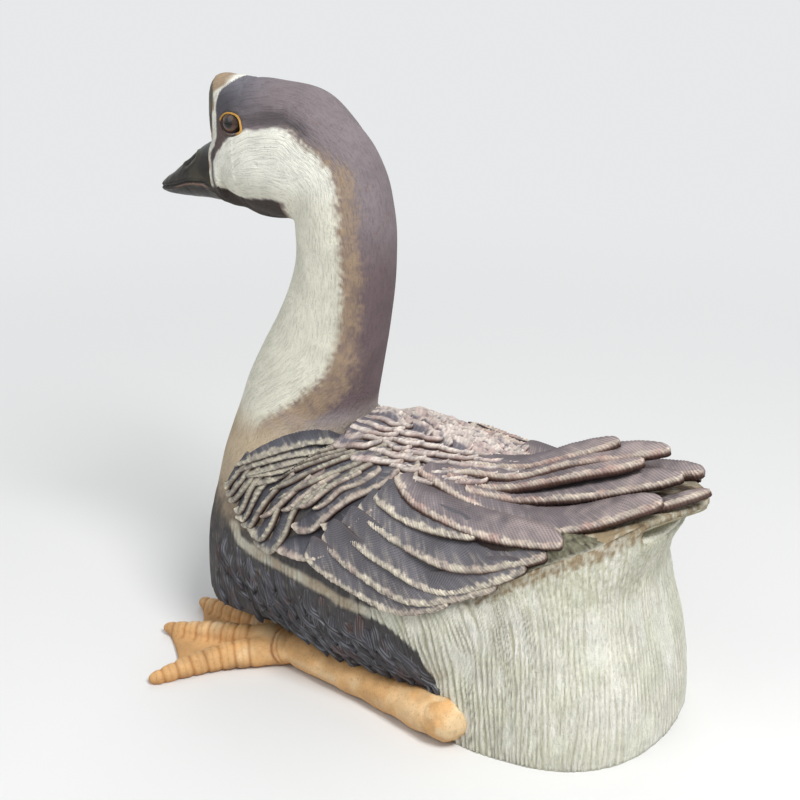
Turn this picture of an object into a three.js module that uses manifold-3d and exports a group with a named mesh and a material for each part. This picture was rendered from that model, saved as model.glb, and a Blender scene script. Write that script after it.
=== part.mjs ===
// A garden goose of fired clay, sitting with its neck up. Millimetres.
// It faces -Y, its left side is +X, the floor is z = 0, and x = 0 is its plane of symmetry.
import * as THREE from "three";
import { mergeVertices } from "three/addons/utils/BufferGeometryUtils.js";
import Module from "manifold-3d";

const wasm = await Module();
wasm.setup();

// ---- driving dimensions ----

const GAP = 0.3; // between pieces that touch
const FLOOR_SINK = 6; // how far the round underside would pass the floor before it is cut flat
const FAR = 1000; // past the goose in any direction
const LEFT = 1;
const RIGHT = -1;

// How finely each shape is faceted: rows along it, and points around it.
const FACETS = {
  trunk: [14, 20],
  rump: [9, 22],
  tail: [8, 14],
  neck: [16, 16],
  head: [12, 16],
  bill: [8, 12],
  egg: [8, 12],
  feather: [7, 4],
  shank: [9, 8],
  toe: [8, 6],
};
const EYE_FACETS = [8, 6];

const TRUNK = { front: -184, back: 236, halfWidth: 110, planFront: 2.05, planBack: 2.6, keel: 4.5 };
const TRUNK_LINES = [
  { y: -184, top: 142, middle: 84 },
  { y: -120, top: 192, middle: 98 },
  { y: -40, top: 212, middle: 102 },
  { y: 20, top: 214, middle: 98 },
  { y: 75, top: 203, middle: 94 },
  { y: 130, top: 192, middle: 90 },
  { y: 236, top: 186, middle: 84 },
];
const TRUNK_SQUARENESS = 2.2;

// The rump is a sack that stands on the floor and opens out again under the tail.
const RUMP_AXIS = 150;
const RUMP_RINGS = [
  { z: -FLOOR_SINK, long: 106, half: 111 },
  { z: 14, long: 106, half: 112 },
  { z: 40, long: 104, half: 110 },
  { z: 75, long: 98, half: 106 },
  { z: 105, long: 90, half: 101 },
  { z: 138, long: 84, half: 97 },
  { z: 165, long: 92, half: 90 },
  { z: 190, long: 104, half: 78 },
];
const RUMP_SQUARENESS = 2.45;

// The tail is a low roof over the rump. Its edge climbs from the flanks to the tip.
const TAIL_EDGE = [
  { y: 128, half: 96, edge: 136, ridge: 190 },
  { y: 152, half: 95, edge: 151, ridge: 192 },
  { y: 176, half: 89, edge: 165, ridge: 195 },
  { y: 212, half: 66, edge: 182, ridge: 201 },
  { y: 243, half: 46, edge: 198, ridge: 208 },
  { y: 272, half: 22, edge: 206, ridge: 213 },
];
const TAIL_THICKNESS = 7;
const TAIL_BLUNTNESS = 0.5; // of its edge: nearer 0 is squarer

// The neck widens into the breast, which stands on the floor.
const NECK_RINGS = [
  { y: -96, z: -FLOOR_SINK, deep: 70, half: 62 },
  { y: -99, z: 26, deep: 82, half: 80 },
  { y: -101, z: 68, deep: 82, half: 86 },
  { y: -101, z: 112, deep: 78, half: 84 },
  { y: -100, z: 160, deep: 67, half: 76 },
  { y: -93, z: 200, deep: 61, half: 62 },
  { y: -84, z: 235, deep: 57, half: 53 },
  { y: -68, z: 280, deep: 50, half: 45 },
  { y: -56, z: 320, deep: 45, half: 40 },
  { y: -51, z: 355, deep: 43, half: 38 },
  { y: -52, z: 390, deep: 43, half: 37 },
  { y: -60, z: 425, deep: 40, half: 33 },
  { y: -80, z: 455, deep: 32, half: 26 },
];

const HEAD = { front: -171, back: -19, endRound: 4, squareness: 2.2 };
const HEAD_LINES = [
  { y: -171, top: 492, middle: 440, bottom: 394, half: 25 },
  { y: -145, top: 495, middle: 436, bottom: 386, half: 30 },
  { y: -110, top: 494, middle: 434, bottom: 381, half: 33 },
  { y: -80, top: 491, middle: 434, bottom: 382, half: 34 },
  { y: -60, top: 481, middle: 428, bottom: 388, half: 32 },
  { y: -37, top: 458, middle: 422, bottom: 396, half: 27 },
  { y: -19, top: 426, middle: 415, bottom: 402, half: 18 },
];
const KNOB = { y: -164.5, z: 462, long: 15.5, half: 13.5, high: 33, squareness: 3.2 };
const DEWLAP = { y: -122, z: 391, long: 33, half: 11, high: 13, squareness: 2 };
const EYE = { x: 18.5, y: -144, z: 459.5, radius: 11 };

const BILL = { root: -160, tip: -236, sharpness: 5.5 };
const BILL_LINES = [
  { y: -236, top: 397, middle: 391, bottom: 385, half: 9 },
  { y: -224, top: 405, middle: 395, bottom: 385, half: 12 },
  { y: -205, top: 420, middle: 399, bottom: 386, half: 15 },
  { y: -185, top: 435, middle: 403, bottom: 387, half: 18 },
  { y: -160, top: 444, middle: 406, bottom: 387, half: 21 },
];
const MOUTH = { y: -185, z: 402, slope: 0.17, opening: 0.6 };

// The planes that part the body: each passes through (0, y, z) and faces (0, ahead, up).
const PARTINGS = {
  head: { y: -62, z: 396, ahead: -0.72, up: 0.7 },
  neck_upper: { y: -64, z: 296, ahead: 0.12, up: 1 },
  neck_lower: { y: -15, z: 224, ahead: -0.35, up: 0.94 },
  rump: { y: 118, z: 0, ahead: 1, up: -0.22 },
};

const SHANK_PATH = [
  [112, 124, 20],
  [90, 28, 15],
  [68, -75, 16],
];
const SHANK_SIZES = [
  { share: 0, size: 20 },
  { share: 0.5, size: 14 },
  { share: 1, size: 16 },
];
const SHANK_CAP = 0.12; // the share of its length over which an end is rounded
const TOES = [
  { path: [[76, -78, 13], [112, -120, 10], [163, -155, 4]], thick: 13 },
  { path: [[67, -86, 14], [77, -142, 11], [86, -198, 5]], thick: 12 },
  { path: [[56, -84, 15], [42, -140, 11], [30, -199, 5]], thick: 12 },
];
const KNUCKLES = { count: 4, swell: 0.1 };
const TOE_TAPER = 0.6;
const TOE_CAP = 0.08;
// How far along its two toes each stretch of the web reaches: outer and middle, middle and inner.
const WEB_REACH = [[0.78, 0.96], [0.7, 0.97]];
const WEB = { hollow: 0.92, thick: 8, curveSteps: 2 };

// Patches of plumage that lie on the body. Each outline is [along y, up the lean] in a plane
// that faces sideways (lean 0), upward (lean 90) or between.
const COVERTS = {
  thick: 6,
  lean: 45,
  outline: [[-136, 60], [-103, 27], [-41, 10], [25, 47], [61, 100], [45, 132], [-15, 138], [-67, 105]],
};
const MANTLE = {
  thick: 4,
  lean: 90,
  outline: [[8, 0], [12, 32], [60, 42], [124, 12], [124, -12], [60, -42], [12, -32]],
};
const FLANK = {
  thick: 3.5,
  lean: 0,
  outline: [
    [-128, 98], [-92, 114], [-30, 111], [40, 92], [74, 68],
    [91, 30], [20, 33], [-60, 36], [-122, 34],
  ],
};

const PATCH_STEPS = 2; // along the outline, for each of its points
const GROOVE_STEPS = 1; // the same, for the outline of a groove

// Grooves between the main rows of coverts, and between the combed locks of the rump. Each line
// is given as a patch's outline is. The floor is how far outside the body the groove stops.
const COVERT_GROOVES = {
  lean: COVERTS.lean,
  width: 7,
  floor: 2,
  lines: [
    [[44, 98], [22, 60], [-8, 32], [-48, 22]],
    [[22, 120], [16, 92], [-18, 59], [-42, 41]],
    [[4, 107], [-22, 78], [-56, 52], [-80, 34]],
    [[-10, 118], [-50, 97], [-84, 66], [-100, 42]],
  ],
};
const RUMP_GROOVES = {
  lean: 0,
  width: 5,
  floor: -2,
  lines: [
    [[88, 100], [108, 60], [113, 20]],
    [[116, 118], [135, 66], [138, 16]],
    [[148, 136], [163, 76], [164, 14]],
    [[180, 146], [191, 80], [189, 14]],
    [[210, 152], [218, 84], [214, 16]],
  ],
};

// Each long feather: its outer edge from root to tip, how far it spans from that edge, and
// the lean of that span at the root and at the tip, from straight up (0) to level (90).
const SECONDARIES = [
  { edge: [[108, -30, 128], [113, 12, 116], [113, 62, 105], [108, 108, 118]], span: 26, lean: [6, 6] },
  { edge: [[105, -16, 146], [111, 22, 130], [111, 75, 116], [101, 146, 139]], span: 28, lean: [12, 12] },
  { edge: [[101, -2, 158], [108, 46, 141], [106, 100, 129], [97, 168, 158]], span: 28, lean: [20, 20] },
  { edge: [[92, 10, 174], [100, 50, 160], [102, 110, 150], [92, 180, 170]], span: 28, lean: [32, 30] },
  { edge: [[86, 22, 184], [91, 62, 173], [89, 117, 170]], span: 26, lean: [42, 38] },
];
const PRIMARIES = [
  { edge: [[68, 30, 200], [80, 60, 186], [82, 121, 175], [79, 187, 178]], span: 28, lean: [54, 42] },
  { edge: [[56, 46, 204], [62, 90, 191], [64, 165, 180], [48, 254, 215]], span: 30, lean: [66, 50] },
  { edge: [[56, 90, 196], [44, 130, 191], [35, 190, 205], [18, 258, 226]], span: 26, lean: [74, 54] },
  { edge: [[50, 70, 202], [41, 112, 196], [30, 176, 217], [18, 226, 232]], span: 26, lean: [80, 57] },
  { edge: [[42, 66, 203], [30, 122, 204], [20, 168, 222], [5, 241, 240]], span: 26, lean: [86, 60] },
  { edge: [[26, 70, 204], [18, 116, 206], [12, 158, 221], [5, 199, 238]], span: 26, lean: [88, 62] },
];
const FEATHER_THICKNESS = 8;
const FEATHER_PROUD = 2; // of the edge's own line
const FEATHER_ENDS = 5; // how square its two ends are
const FEATHER_TUCK = 2; // degrees that the inner edge of a feather dips under the next one
const INNER_FEATHERS = 3; // those of the right wing that the left wing lies on
const CROSSING = { shorter: 0.86, lower: 12 };

// ---- shapes ----

// The value of one key at a place along stations sorted by another key, on a smooth cubic.
function between(stations, sortKey, key, at) {
  const last = stations.length - 1;
  const station = (n) => stations[THREE.MathUtils.clamp(n, 0, last)];
  let i = 0;
  while (i < last - 1 && at > stations[i + 1][sortKey]) i++;
  const slope = (n) =>
    (station(n + 1)[key] - station(n - 1)[key]) / (station(n + 1)[sortKey] - station(n - 1)[sortKey]);
  const span = stations[i + 1][sortKey] - stations[i][sortKey];
  const t = THREE.MathUtils.clamp((at - stations[i][sortKey]) / span, 0, 1);
  return (
    (2 * t ** 3 - 3 * t ** 2 + 1) * stations[i][key] +
    (t ** 3 - 2 * t ** 2 + t) * slope(i) * span +
    (3 * t ** 2 - 2 * t ** 3) * stations[i + 1][key] +
    (t ** 3 - t ** 2) * slope(i + 1) * span
  );
}

// A sphere's grid pulled into another closed shape. place(t, turn, open) gives each point:
// t runs from 0 at one end to 1 at the other, turn goes round, and open is 0 at the two ends.
function pulledSphere([rows, around], place) {
  const geometry = new THREE.SphereGeometry(1, around, rows);
  const position = geometry.getAttribute("position");
  const uv = geometry.getAttribute("uv");
  for (let i = 0; i < position.count; i++) {
    const row = Math.round(uv.getY(i) * rows);
    const open = row > 0 && row < rows ? 1 : 0;
    const turn = open * (uv.getX(i) % 1) * 2 * Math.PI;
    const { x, y, z } = place(1 - row / rows, turn, open);
    position.setXYZ(i, x, y, z);
  }
  return geometry;
}

// 1 along the middle of a body and 0 at its ends, where u is -1 and 1.
const rounded = (u, power) => (1 - Math.min(1, Math.abs(u)) ** power) ** (1 / power);

// From 0 to 1, in closer steps near both ends.
const eased = (t) => (1 - Math.cos(Math.PI * t)) / 2;

// How far a ring of the given squareness reaches in the direction of turn, where a circle is 1.
const ringReach = (turn, power) =>
  (Math.abs(Math.cos(turn)) ** power + Math.abs(Math.sin(turn)) ** power) ** (-1 / power);

function trunkShape(grow) {
  const { keel, planFront, planBack, halfWidth } = TRUNK;
  const front = TRUNK.front - grow;
  const back = TRUNK.back + grow;
  return pulledSphere(FACETS.trunk, (t, turn) => {
    const y = front + eased(t) * (back - front);
    const u = (2 * y - front - back) / (back - front);
    const plan = rounded(u, u < 0 ? planFront : planBack);
    const middle = between(TRUNK_LINES, "y", "middle", y);
    const up = (between(TRUNK_LINES, "y", "top", y) - middle + grow) * plan;
    const down = (middle + FLOOR_SINK + grow) * rounded(u, keel);
    const reach = ringReach(turn, TRUNK_SQUARENESS);
    const rise = Math.cos(turn) * reach;
    const out = Math.sin(turn) * reach;
    return new THREE.Vector3((halfWidth + grow) * plan * out, y, middle + rise * (rise > 0 ? up : down));
  });
}

function rumpShape(grow) {
  const low = RUMP_RINGS[0].z;
  const high = RUMP_RINGS.at(-1).z + grow;
  return pulledSphere(FACETS.rump, (t, turn, open) => {
    const z = low + t * (high - low);
    const reach = open * ringReach(turn, RUMP_SQUARENESS);
    const half = between(RUMP_RINGS, "z", "half", z) + grow;
    const long = between(RUMP_RINGS, "z", "long", z) + grow;
    const y = RUMP_AXIS + long * Math.cos(turn) * reach;
    return new THREE.Vector3(half * Math.sin(turn) * reach, y, z);
  });
}

function tailShape(grow) {
  const front = TAIL_EDGE[0].y;
  const back = TAIL_EDGE.at(-1).y;
  return pulledSphere(FACETS.tail, (t, turn, open) => {
    const y = front + t * (back - front) + (1 - open) * Math.sign(t - 0.5) * grow;
    const half = open * (between(TAIL_EDGE, "y", "half", y) + grow);
    const edge = between(TAIL_EDGE, "y", "edge", y);
    const ridge = between(TAIL_EDGE, "y", "ridge", y);
    const out = Math.sin(turn);
    const roof = edge + (ridge - edge) * (1 - out ** 2);
    const face = Math.cos(turn) > 0 ? grow : -TAIL_THICKNESS - grow;
    const z = roof + Math.abs(Math.cos(turn)) ** TAIL_BLUNTNESS * face;
    return new THREE.Vector3(half * out, y, z);
  });
}

// Rings that stand square to a line in the plane of symmetry.
function neckShape(grow) {
  const line = new THREE.CatmullRomCurve3(
    NECK_RINGS.map(({ y, z }) => new THREE.Vector3(0, y, z)),
    false,
    "centripetal",
  );
  const rings = NECK_RINGS.map((ring, i) => ({ ...ring, share: i / (NECK_RINGS.length - 1) }));
  return pulledSphere(FACETS.neck, (t, turn, open) => {
    const along = line.getTangent(t);
    const forward = new THREE.Vector3(0, -along.z, along.y);
    const deep = open * (between(rings, "share", "deep", t) + grow);
    const half = open * (between(rings, "share", "half", t) + grow);
    return line
      .getPoint(t)
      .addScaledVector(forward, deep * Math.cos(turn))
      .add(new THREE.Vector3(half * Math.sin(turn), 0, 0));
  });
}

function headShape(grow) {
  const front = HEAD.front - grow;
  const back = HEAD.back + grow;
  return pulledSphere(FACETS.head, (t, turn) => {
    const y = front + eased(t) * (back - front);
    const full = rounded((2 * y - front - back) / (back - front), HEAD.endRound);
    const [top, middle, bottom, half] = ["top", "middle", "bottom", "half"].map((key) =>
      between(HEAD_LINES, "y", key, y),
    );
    const reach = ringReach(turn, HEAD.squareness);
    const rise = Math.cos(turn) * reach;
    const tall = (rise > 0 ? top - middle : middle - bottom) + grow;
    return new THREE.Vector3(
      (half + grow) * full * Math.sin(turn) * reach,
      y,
      middle + rise * tall * full,
    );
  });
}

function billShape() {
  return pulledSphere(FACETS.bill, (t, turn) => {
    const y = BILL.tip + (1 - Math.cos((Math.PI / 2) * t)) * (BILL.root - BILL.tip);
    const full = rounded((BILL.root - y) / (BILL.root - BILL.tip), BILL.sharpness);
    const [top, middle, bottom, half] = ["top", "middle", "bottom", "half"].map((key) =>
      between(BILL_LINES, "y", key, y),
    );
    const rise = Math.cos(turn);
    const tall = rise > 0 ? top - middle : middle - bottom;
    const open = t < 1 ? full : 0;
    return new THREE.Vector3(half * open * Math.sin(turn), y, middle + rise * tall * open);
  });
}

function egg({ y, z, long, half, high, squareness }, grow) {
  return pulledSphere(FACETS.egg, (t, turn) => {
    const height = Math.cos(Math.PI * t);
    const around = ringReach(turn, squareness) * ringReach(Math.PI * t, squareness);
    const level = Math.sin(Math.PI * t) * around;
    return new THREE.Vector3(
      (half + grow) * level * Math.sin(turn),
      y + (long + grow) * level * Math.cos(turn),
      z - (high + grow) * height * ringReach(Math.PI * t, squareness),
    );
  });
}

function eyeball(side, grow) {
  const shape = new THREE.SphereGeometry(EYE.radius + grow, ...EYE_FACETS);
  return shape.translate(side * EYE.x, EYE.y, EYE.z);
}

const pointsOn = (side, path) => path.map(([x, y, z]) => new THREE.Vector3(side * x, y, z));

// A rod with round ends. sizeAt(share of the length) gives its radius.
function rod(path, sizeAt, facets, cap) {
  const curve = new THREE.CatmullRomCurve3(path);
  const up = new THREE.Vector3(0, 0, 1);
  return pulledSphere(facets, (t, turn, open) => {
    const share = eased(t);
    const along = curve.getTangent(share);
    const across = new THREE.Vector3().crossVectors(along, up).normalize();
    const over = new THREE.Vector3().crossVectors(across, along);
    const end = Math.min(1, Math.min(share, 1 - share) / cap);
    const size = open * sizeAt(share) * Math.sqrt(1 - (1 - end) ** 2);
    return curve
      .getPoint(share)
      .addScaledVector(across, size * Math.sin(turn))
      .addScaledVector(over, size * Math.cos(turn));
  });
}

// A flat blade that spans inward from its outer edge, as a long feather does.
function featherShape({ edge, span, lean }, side, grow, short, lower) {
  const curve = new THREE.CatmullRomCurve3(pointsOn(side, edge));
  const tuck = THREE.MathUtils.degToRad(FEATHER_TUCK);
  return pulledSphere(FACETS.feather, (t, turn, open) => {
    const share = eased(t);
    const along = curve.getTangent(share * short);
    const tilt = THREE.MathUtils.degToRad(THREE.MathUtils.lerp(...lean, share));
    const inward = new THREE.Vector3(-side * Math.sin(tilt), 0, Math.cos(tilt));
    inward.addScaledVector(along, -inward.dot(along)).normalize();
    const out = new THREE.Vector3().crossVectors(along, inward).multiplyScalar(side);
    inward.applyAxisAngle(along, -side * tuck);
    const full = open * rounded(2 * share - 1, FEATHER_ENDS);
    const wide = full * (span / 2 + grow) * Math.sin(turn);
    const thick = (FEATHER_THICKNESS / 2 + grow) * Math.cos(turn) * open;
    return curve
      .getPoint(share * short)
      .addScaledVector(inward, span / 2 + wide)
      .addScaledVector(out, thick - FEATHER_THICKNESS / 2 + FEATHER_PROUD)
      .add(new THREE.Vector3(0, 0, -lower));
  });
}

// A narrow outline along a line.
function strip(line, width) {
  const points = line.map(([along, over]) => new THREE.Vector2(along, over));
  const edge = (sign) =>
    points.map((point, i) => {
      const ahead = points[Math.min(i + 1, points.length - 1)].clone();
      const { x, y } = ahead.sub(points[Math.max(i - 1, 0)]).setLength((sign * width) / 2);
      return [point.x - y, point.y + x];
    });
  return [...edge(1), ...edge(-1).reverse()];
}

// A block with a smooth closed section, which reaches out from the middle of the body.
function prism({ outline, lean, steps = PATCH_STEPS }, side) {
  const tilt = THREE.MathUtils.degToRad(lean);
  const corners = outline.map(([along, over]) => new THREE.Vector3(along, over, 0));
  const line = new THREE.CatmullRomCurve3(corners, true, "centripetal");
  const shape = new THREE.Shape(line.getPoints(outline.length * steps).slice(1));
  const block = new THREE.ExtrudeGeometry(shape, { depth: FAR, bevelEnabled: false });
  const along = new THREE.Vector3(0, 1, 0);
  const over = new THREE.Vector3(-side * Math.sin(tilt), 0, Math.cos(tilt));
  const out = new THREE.Vector3(side * Math.cos(tilt), 0, Math.sin(tilt));
  return block.applyMatrix4(new THREE.Matrix4().makeBasis(along, over, out));
}

// ---- solids ----

function solid(geometry) {
  const bare = geometry.index ? geometry.toNonIndexed() : geometry.clone();
  bare.deleteAttribute("normal");
  bare.deleteAttribute("uv");
  const merged = mergeVertices(bare, 1e-4);
  const shape = new wasm.Mesh({
    numProp: 3,
    vertProperties: merged.attributes.position.array,
    triVerts: new Uint32Array(merged.index.array),
  });
  const made = new wasm.Manifold(shape);
  if (made.volume() > 0) return made;
  const corners = shape.triVerts;
  for (let i = 0; i < corners.length; i += 3)
    [corners[i + 1], corners[i + 2]] = [corners[i + 2], corners[i + 1]];
  return new wasm.Manifold(new wasm.Mesh({ ...shape, triVerts: corners }));
}

const joined = (parts) => parts.reduce((all, part) => all.add(part));
const clearOf = (made, ...others) => others.reduce((left, other) => left.subtract(other), made);

// The largest piece of a solid, so that a cut leaves no crumbs.
const largest = (made) =>
  made.decompose().reduce((best, piece) => (piece.volume() > best.volume() ? piece : best));

// All that lies beyond a plane, or within a thin slice of it.
function beyond({ y, z, ahead, up }, depth = 2 * FAR, offset = 0) {
  const box = new THREE.BoxGeometry(2 * FAR, 2 * FAR, depth);
  box.translate(0, 0, depth / 2 + offset);
  box.rotateX(-Math.atan2(ahead, up));
  return solid(box.translate(0, y, z));
}

const belowFloor = beyond({ y: 0, z: 0, ahead: 0, up: -1 });
const standing = (made) => made.subtract(belowFloor);

const flesh = (grow) =>
  joined([trunkShape(grow), rumpShape(grow), neckShape(grow), headShape(grow)].map(solid));

// A patch of the body's plumage, of one thickness.
const patch = (outline, side, grow = 0) =>
  flesh(outline.thick + grow).intersect(solid(prism(outline, side)));

// What a set of grooves takes away.
function grooves({ lines, lean, width, floor }, side) {
  const steps = GROOVE_STEPS;
  const cuts = lines.map((line) => solid(prism({ outline: strip(line, width), lean, steps }, side)));
  return clearOf(joined(cuts), flesh(floor));
}

function mesh(name, made, look) {
  const { vertProperties, triVerts, numProp, numVert } = largest(made).getMesh();
  const points = new Float32Array(numVert * 3);
  for (let i = 0; i < numVert; i++)
    points.set(vertProperties.subarray(i * numProp, i * numProp + 3), i * 3);
  const geometry = new THREE.BufferGeometry();
  geometry.setAttribute("position", new THREE.BufferAttribute(points, 3));
  geometry.setIndex(new THREE.BufferAttribute(triVerts, 1));
  geometry.computeVertexNormals();
  const piece = new THREE.Mesh(geometry, look);
  piece.name = name;
  return piece;
}

// ---- parts of the goose ----

function bodyParts() {
  const combed = [LEFT, RIGHT].map((side) => grooves(RUMP_GROOVES, side));
  let rest = clearOf(standing(flesh(0)), tailRoom, eyeSockets(), ...combed);
  const parts = { tail: solid(tailShape(0)) };
  for (const [name, plane] of Object.entries(PARTINGS)) {
    parts[name] = rest.intersect(beyond(plane, 2 * FAR, GAP / 2));
    rest = rest.subtract(beyond(plane, 2 * FAR, -GAP / 2));
  }
  return { ...parts, trunk: rest };
}

// The room that the tail takes, with a little more above and below it where its roof is steep.
const tailRoom = joined(
  [-2 * GAP, 0, 2 * GAP].map((shift) => solid(tailShape(GAP).translate(0, 0, shift))),
);

const eyeSockets = () => joined([LEFT, RIGHT].map((side) => solid(eyeball(side, GAP))));

function billParts() {
  const whole = clearOf(solid(billShape()), flesh(GAP), solid(egg(KNOB, GAP)));
  const facing = { y: MOUTH.y, z: MOUTH.z, ahead: -MOUTH.slope, up: 1 };
  return {
    bill_upper: whole.intersect(beyond(facing, 2 * FAR, MOUTH.opening / 2)),
    bill_lower: whole.subtract(beyond(facing, 2 * FAR, -MOUTH.opening / 2)),
  };
}

function shank(side, grow) {
  const size = (share) => between(SHANK_SIZES, "share", "size", share) + grow;
  return solid(rod(pointsOn(side, SHANK_PATH), size, FACETS.shank, SHANK_CAP));
}

function toe({ path, thick }, side, grow) {
  const knuckle = (share) => 1 - KNUCKLES.swell * Math.cos(share * 2 * Math.PI * KNUCKLES.count);
  const size = (share) => thick * (1 - TOE_TAPER * share ** 2) * knuckle(share) + grow;
  return solid(rod(pointsOn(side, path), size, FACETS.toe, TOE_CAP));
}

// The skin between the toes, with a hollow front edge between each two of them.
function web(side) {
  const toes = TOES.map(({ path }) => new THREE.CatmullRomCurve3(pointsOn(side, path)));
  const plan = (i, share) => {
    const { x, y } = toes[i].getPoint(share);
    return new THREE.Vector2(x, y);
  };
  const shape = new THREE.Shape([plan(0, 0)]);
  WEB_REACH.forEach(([near, far], i) => {
    const [start, end] = [plan(i, near), plan(i + 1, far)];
    const dip = plan(i, near * WEB.hollow).lerp(plan(i + 1, far * WEB.hollow), 0.5);
    shape.lineTo(start.x, start.y);
    shape.quadraticCurveTo(dip.x, dip.y, end.x, end.y);
  });
  const inner = plan(toes.length - 1, 0);
  shape.lineTo(inner.x, inner.y);
  const form = { depth: WEB.thick, bevelEnabled: false, curveSegments: WEB.curveSteps };
  return solid(new THREE.ExtrudeGeometry(shape, form));
}

const foot = (side, grow) => joined([...TOES.map((each) => toe(each, side, grow)), web(side)]);

function feathers(list, side, grow) {
  return joined(
    list.map((each, i) => {
      const crosses = side === RIGHT && list === PRIMARIES && i >= list.length - INNER_FEATHERS;
      const { shorter, lower } = crosses ? CROSSING : { shorter: 1, lower: 0 };
      return solid(featherShape(each, side, grow, shorter, lower));
    }),
  );
}

function wingParts(side, taken) {
  const under = [flesh(GAP), tailRoom, ...taken];
  return {
    coverts: clearOf(patch(COVERTS, side), flesh(GAP), grooves(COVERT_GROOVES, side)),
    secondaries: clearOf(feathers(SECONDARIES, side, 0), ...under, patch(COVERTS, side, GAP)),
    primaries: clearOf(
      feathers(PRIMARIES, side, 0),
      ...under,
      patch(COVERTS, side, GAP),
      feathers(SECONDARIES, side, GAP),
    ),
  };
}

// ---- the goose ----

const clay = (color, roughness = 0.75) =>
  new THREE.MeshStandardMaterial({ color, roughness, metalness: 0 });

const LOOKS = {
  head: ["#57494c"],
  neck_upper: ["#8d8074"],
  neck_lower: ["#b3a78f"],
  trunk: ["#5b5a5c"],
  rump: ["#cdcab6"],
  tail: ["#75604c"],
  bill_upper: ["#2b221e", 0.4],
  bill_lower: ["#2b221e", 0.4],
  knob: ["#2b221e", 0.4],
  dewlap: ["#4a3d3a"],
  mantle: ["#a8938c"],
  eye: ["#3a241a", 0.2],
  coverts: ["#857b73"],
  secondaries: ["#6a6066"],
  primaries: ["#746a6e"],
  flank: ["#46444a"],
  leg: ["#c9924f"],
  foot: ["#c9924f"],
};

const goose = new THREE.Group();

function place(parts, ending = "") {
  for (const [name, made] of Object.entries(parts))
    goose.add(mesh(name + ending, made, clay(...LOOKS[name])));
}

place(bodyParts());
place(billParts());
place({
  knob: clearOf(solid(egg(KNOB, 0)), flesh(GAP)),
  dewlap: clearOf(solid(egg(DEWLAP, 0)), flesh(GAP)),
});

for (const side of [LEFT, RIGHT]) {
  const ending = side === LEFT ? "_left" : "_right";
  const overlying = side === LEFT ? [] : [feathers(PRIMARIES, LEFT, GAP)];
  place(wingParts(side, overlying), ending);
  place(
    {
      eye: solid(eyeball(side, 0)),
      flank: clearOf(patch(FLANK, side), flesh(GAP), shank(side, GAP), patch(COVERTS, side, GAP)),
      leg: standing(clearOf(shank(side, 0), flesh(GAP))),
      foot: standing(clearOf(foot(side, 0), flesh(GAP), shank(side, GAP))),
    },
    ending,
  );
}

const wings = [LEFT, RIGHT].flatMap((side) => [
  patch(COVERTS, side, GAP),
  feathers(PRIMARIES, side, GAP),
]);
place({ mantle: clearOf(patch(MANTLE, LEFT), flesh(GAP), ...wings) });

export default goose;
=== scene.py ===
# The looks of the garden goose: its clay skin, plumage, bill, eyes and feet, on a plain floor.
# Sizes are in millimetres until a mesh is made. The goose faces -Y, its left is +X, up is +Z.
from itertools import count

import bmesh
import bpy
import numpy as np
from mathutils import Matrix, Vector
from mathutils.bvhtree import BVHTree


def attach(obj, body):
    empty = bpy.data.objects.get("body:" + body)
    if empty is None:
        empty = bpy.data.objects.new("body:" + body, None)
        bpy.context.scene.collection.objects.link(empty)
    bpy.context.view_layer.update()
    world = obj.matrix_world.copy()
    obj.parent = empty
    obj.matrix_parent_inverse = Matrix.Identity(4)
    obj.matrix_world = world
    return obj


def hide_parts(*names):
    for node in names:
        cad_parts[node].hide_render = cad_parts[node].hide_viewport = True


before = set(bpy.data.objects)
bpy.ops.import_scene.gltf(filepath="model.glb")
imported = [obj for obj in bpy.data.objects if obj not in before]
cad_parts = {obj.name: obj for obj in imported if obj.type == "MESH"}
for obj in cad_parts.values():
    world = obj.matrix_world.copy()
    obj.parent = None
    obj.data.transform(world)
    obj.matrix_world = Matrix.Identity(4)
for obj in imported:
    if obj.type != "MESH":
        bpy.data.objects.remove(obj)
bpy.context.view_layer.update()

MM = 0.001
LEFT, RIGHT = 1, -1
SIDES = (LEFT, "left"), (RIGHT, "right")
rng = np.random.default_rng(7)


def placed(name, data):
    """A new object of the scene."""
    made = bpy.data.objects.new(name, data)
    bpy.context.scene.collection.objects.link(made)
    return made


def feed(tree, socket, value):
    """Sets an input of a node, or links another node's output to it."""
    if isinstance(value, bpy.types.NodeSocket):
        tree.links.new(value, socket)
    else:
        socket.default_value = value


def node(tree, kind, inputs, output=0, **settings):
    """Adds a node with its inputs and settings, and gives one of its outputs."""
    made = tree.nodes.new(kind)
    for key, value in settings.items():
        setattr(made, key, value)
    for key, value in inputs.items():
        feed(tree, made.inputs[key], value)
    return made.outputs[output]


# ---- camera and light ----

AIM = Vector((0, 0, 0.237))
VIEW = 120, 22, 1.34  # azimuth, elevation, distance
LENS, SENSOR = 72, 36
LAMPS = {  # azimuth, elevation, distance, diameter, watts
    "key": (150, 52, 2.2, 0.9, 42),
    "fill": (60, 35, 2.6, 2.0, 14),
    "back": (290, 40, 2.6, 1.6, 12),
}
SKY, SKY_STRENGTH = (0.95, 0.97, 1, 1), 0.42
BACKDROP = (0.8, 0.81, 0.82, 1)


def look_from(azimuth, elevation, distance):
    """A place round the goose, and how something there turns to face it. Angles are in degrees."""
    azimuth, elevation = np.radians((azimuth, elevation))
    level = np.cos(elevation)
    back = Vector((np.sin(azimuth) * level, -np.cos(azimuth) * level, np.sin(elevation)))
    return AIM + back * distance, back.to_track_quat("Z", "Y").to_euler()


def add_camera():
    camera = placed("camera", bpy.data.cameras.new("camera"))
    camera.data.lens = LENS
    camera.data.sensor_width = SENSOR
    camera.location, camera.rotation_euler = look_from(*VIEW)
    bpy.context.scene.camera = camera
    bpy.context.scene.view_settings.view_transform = "Standard"


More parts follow.
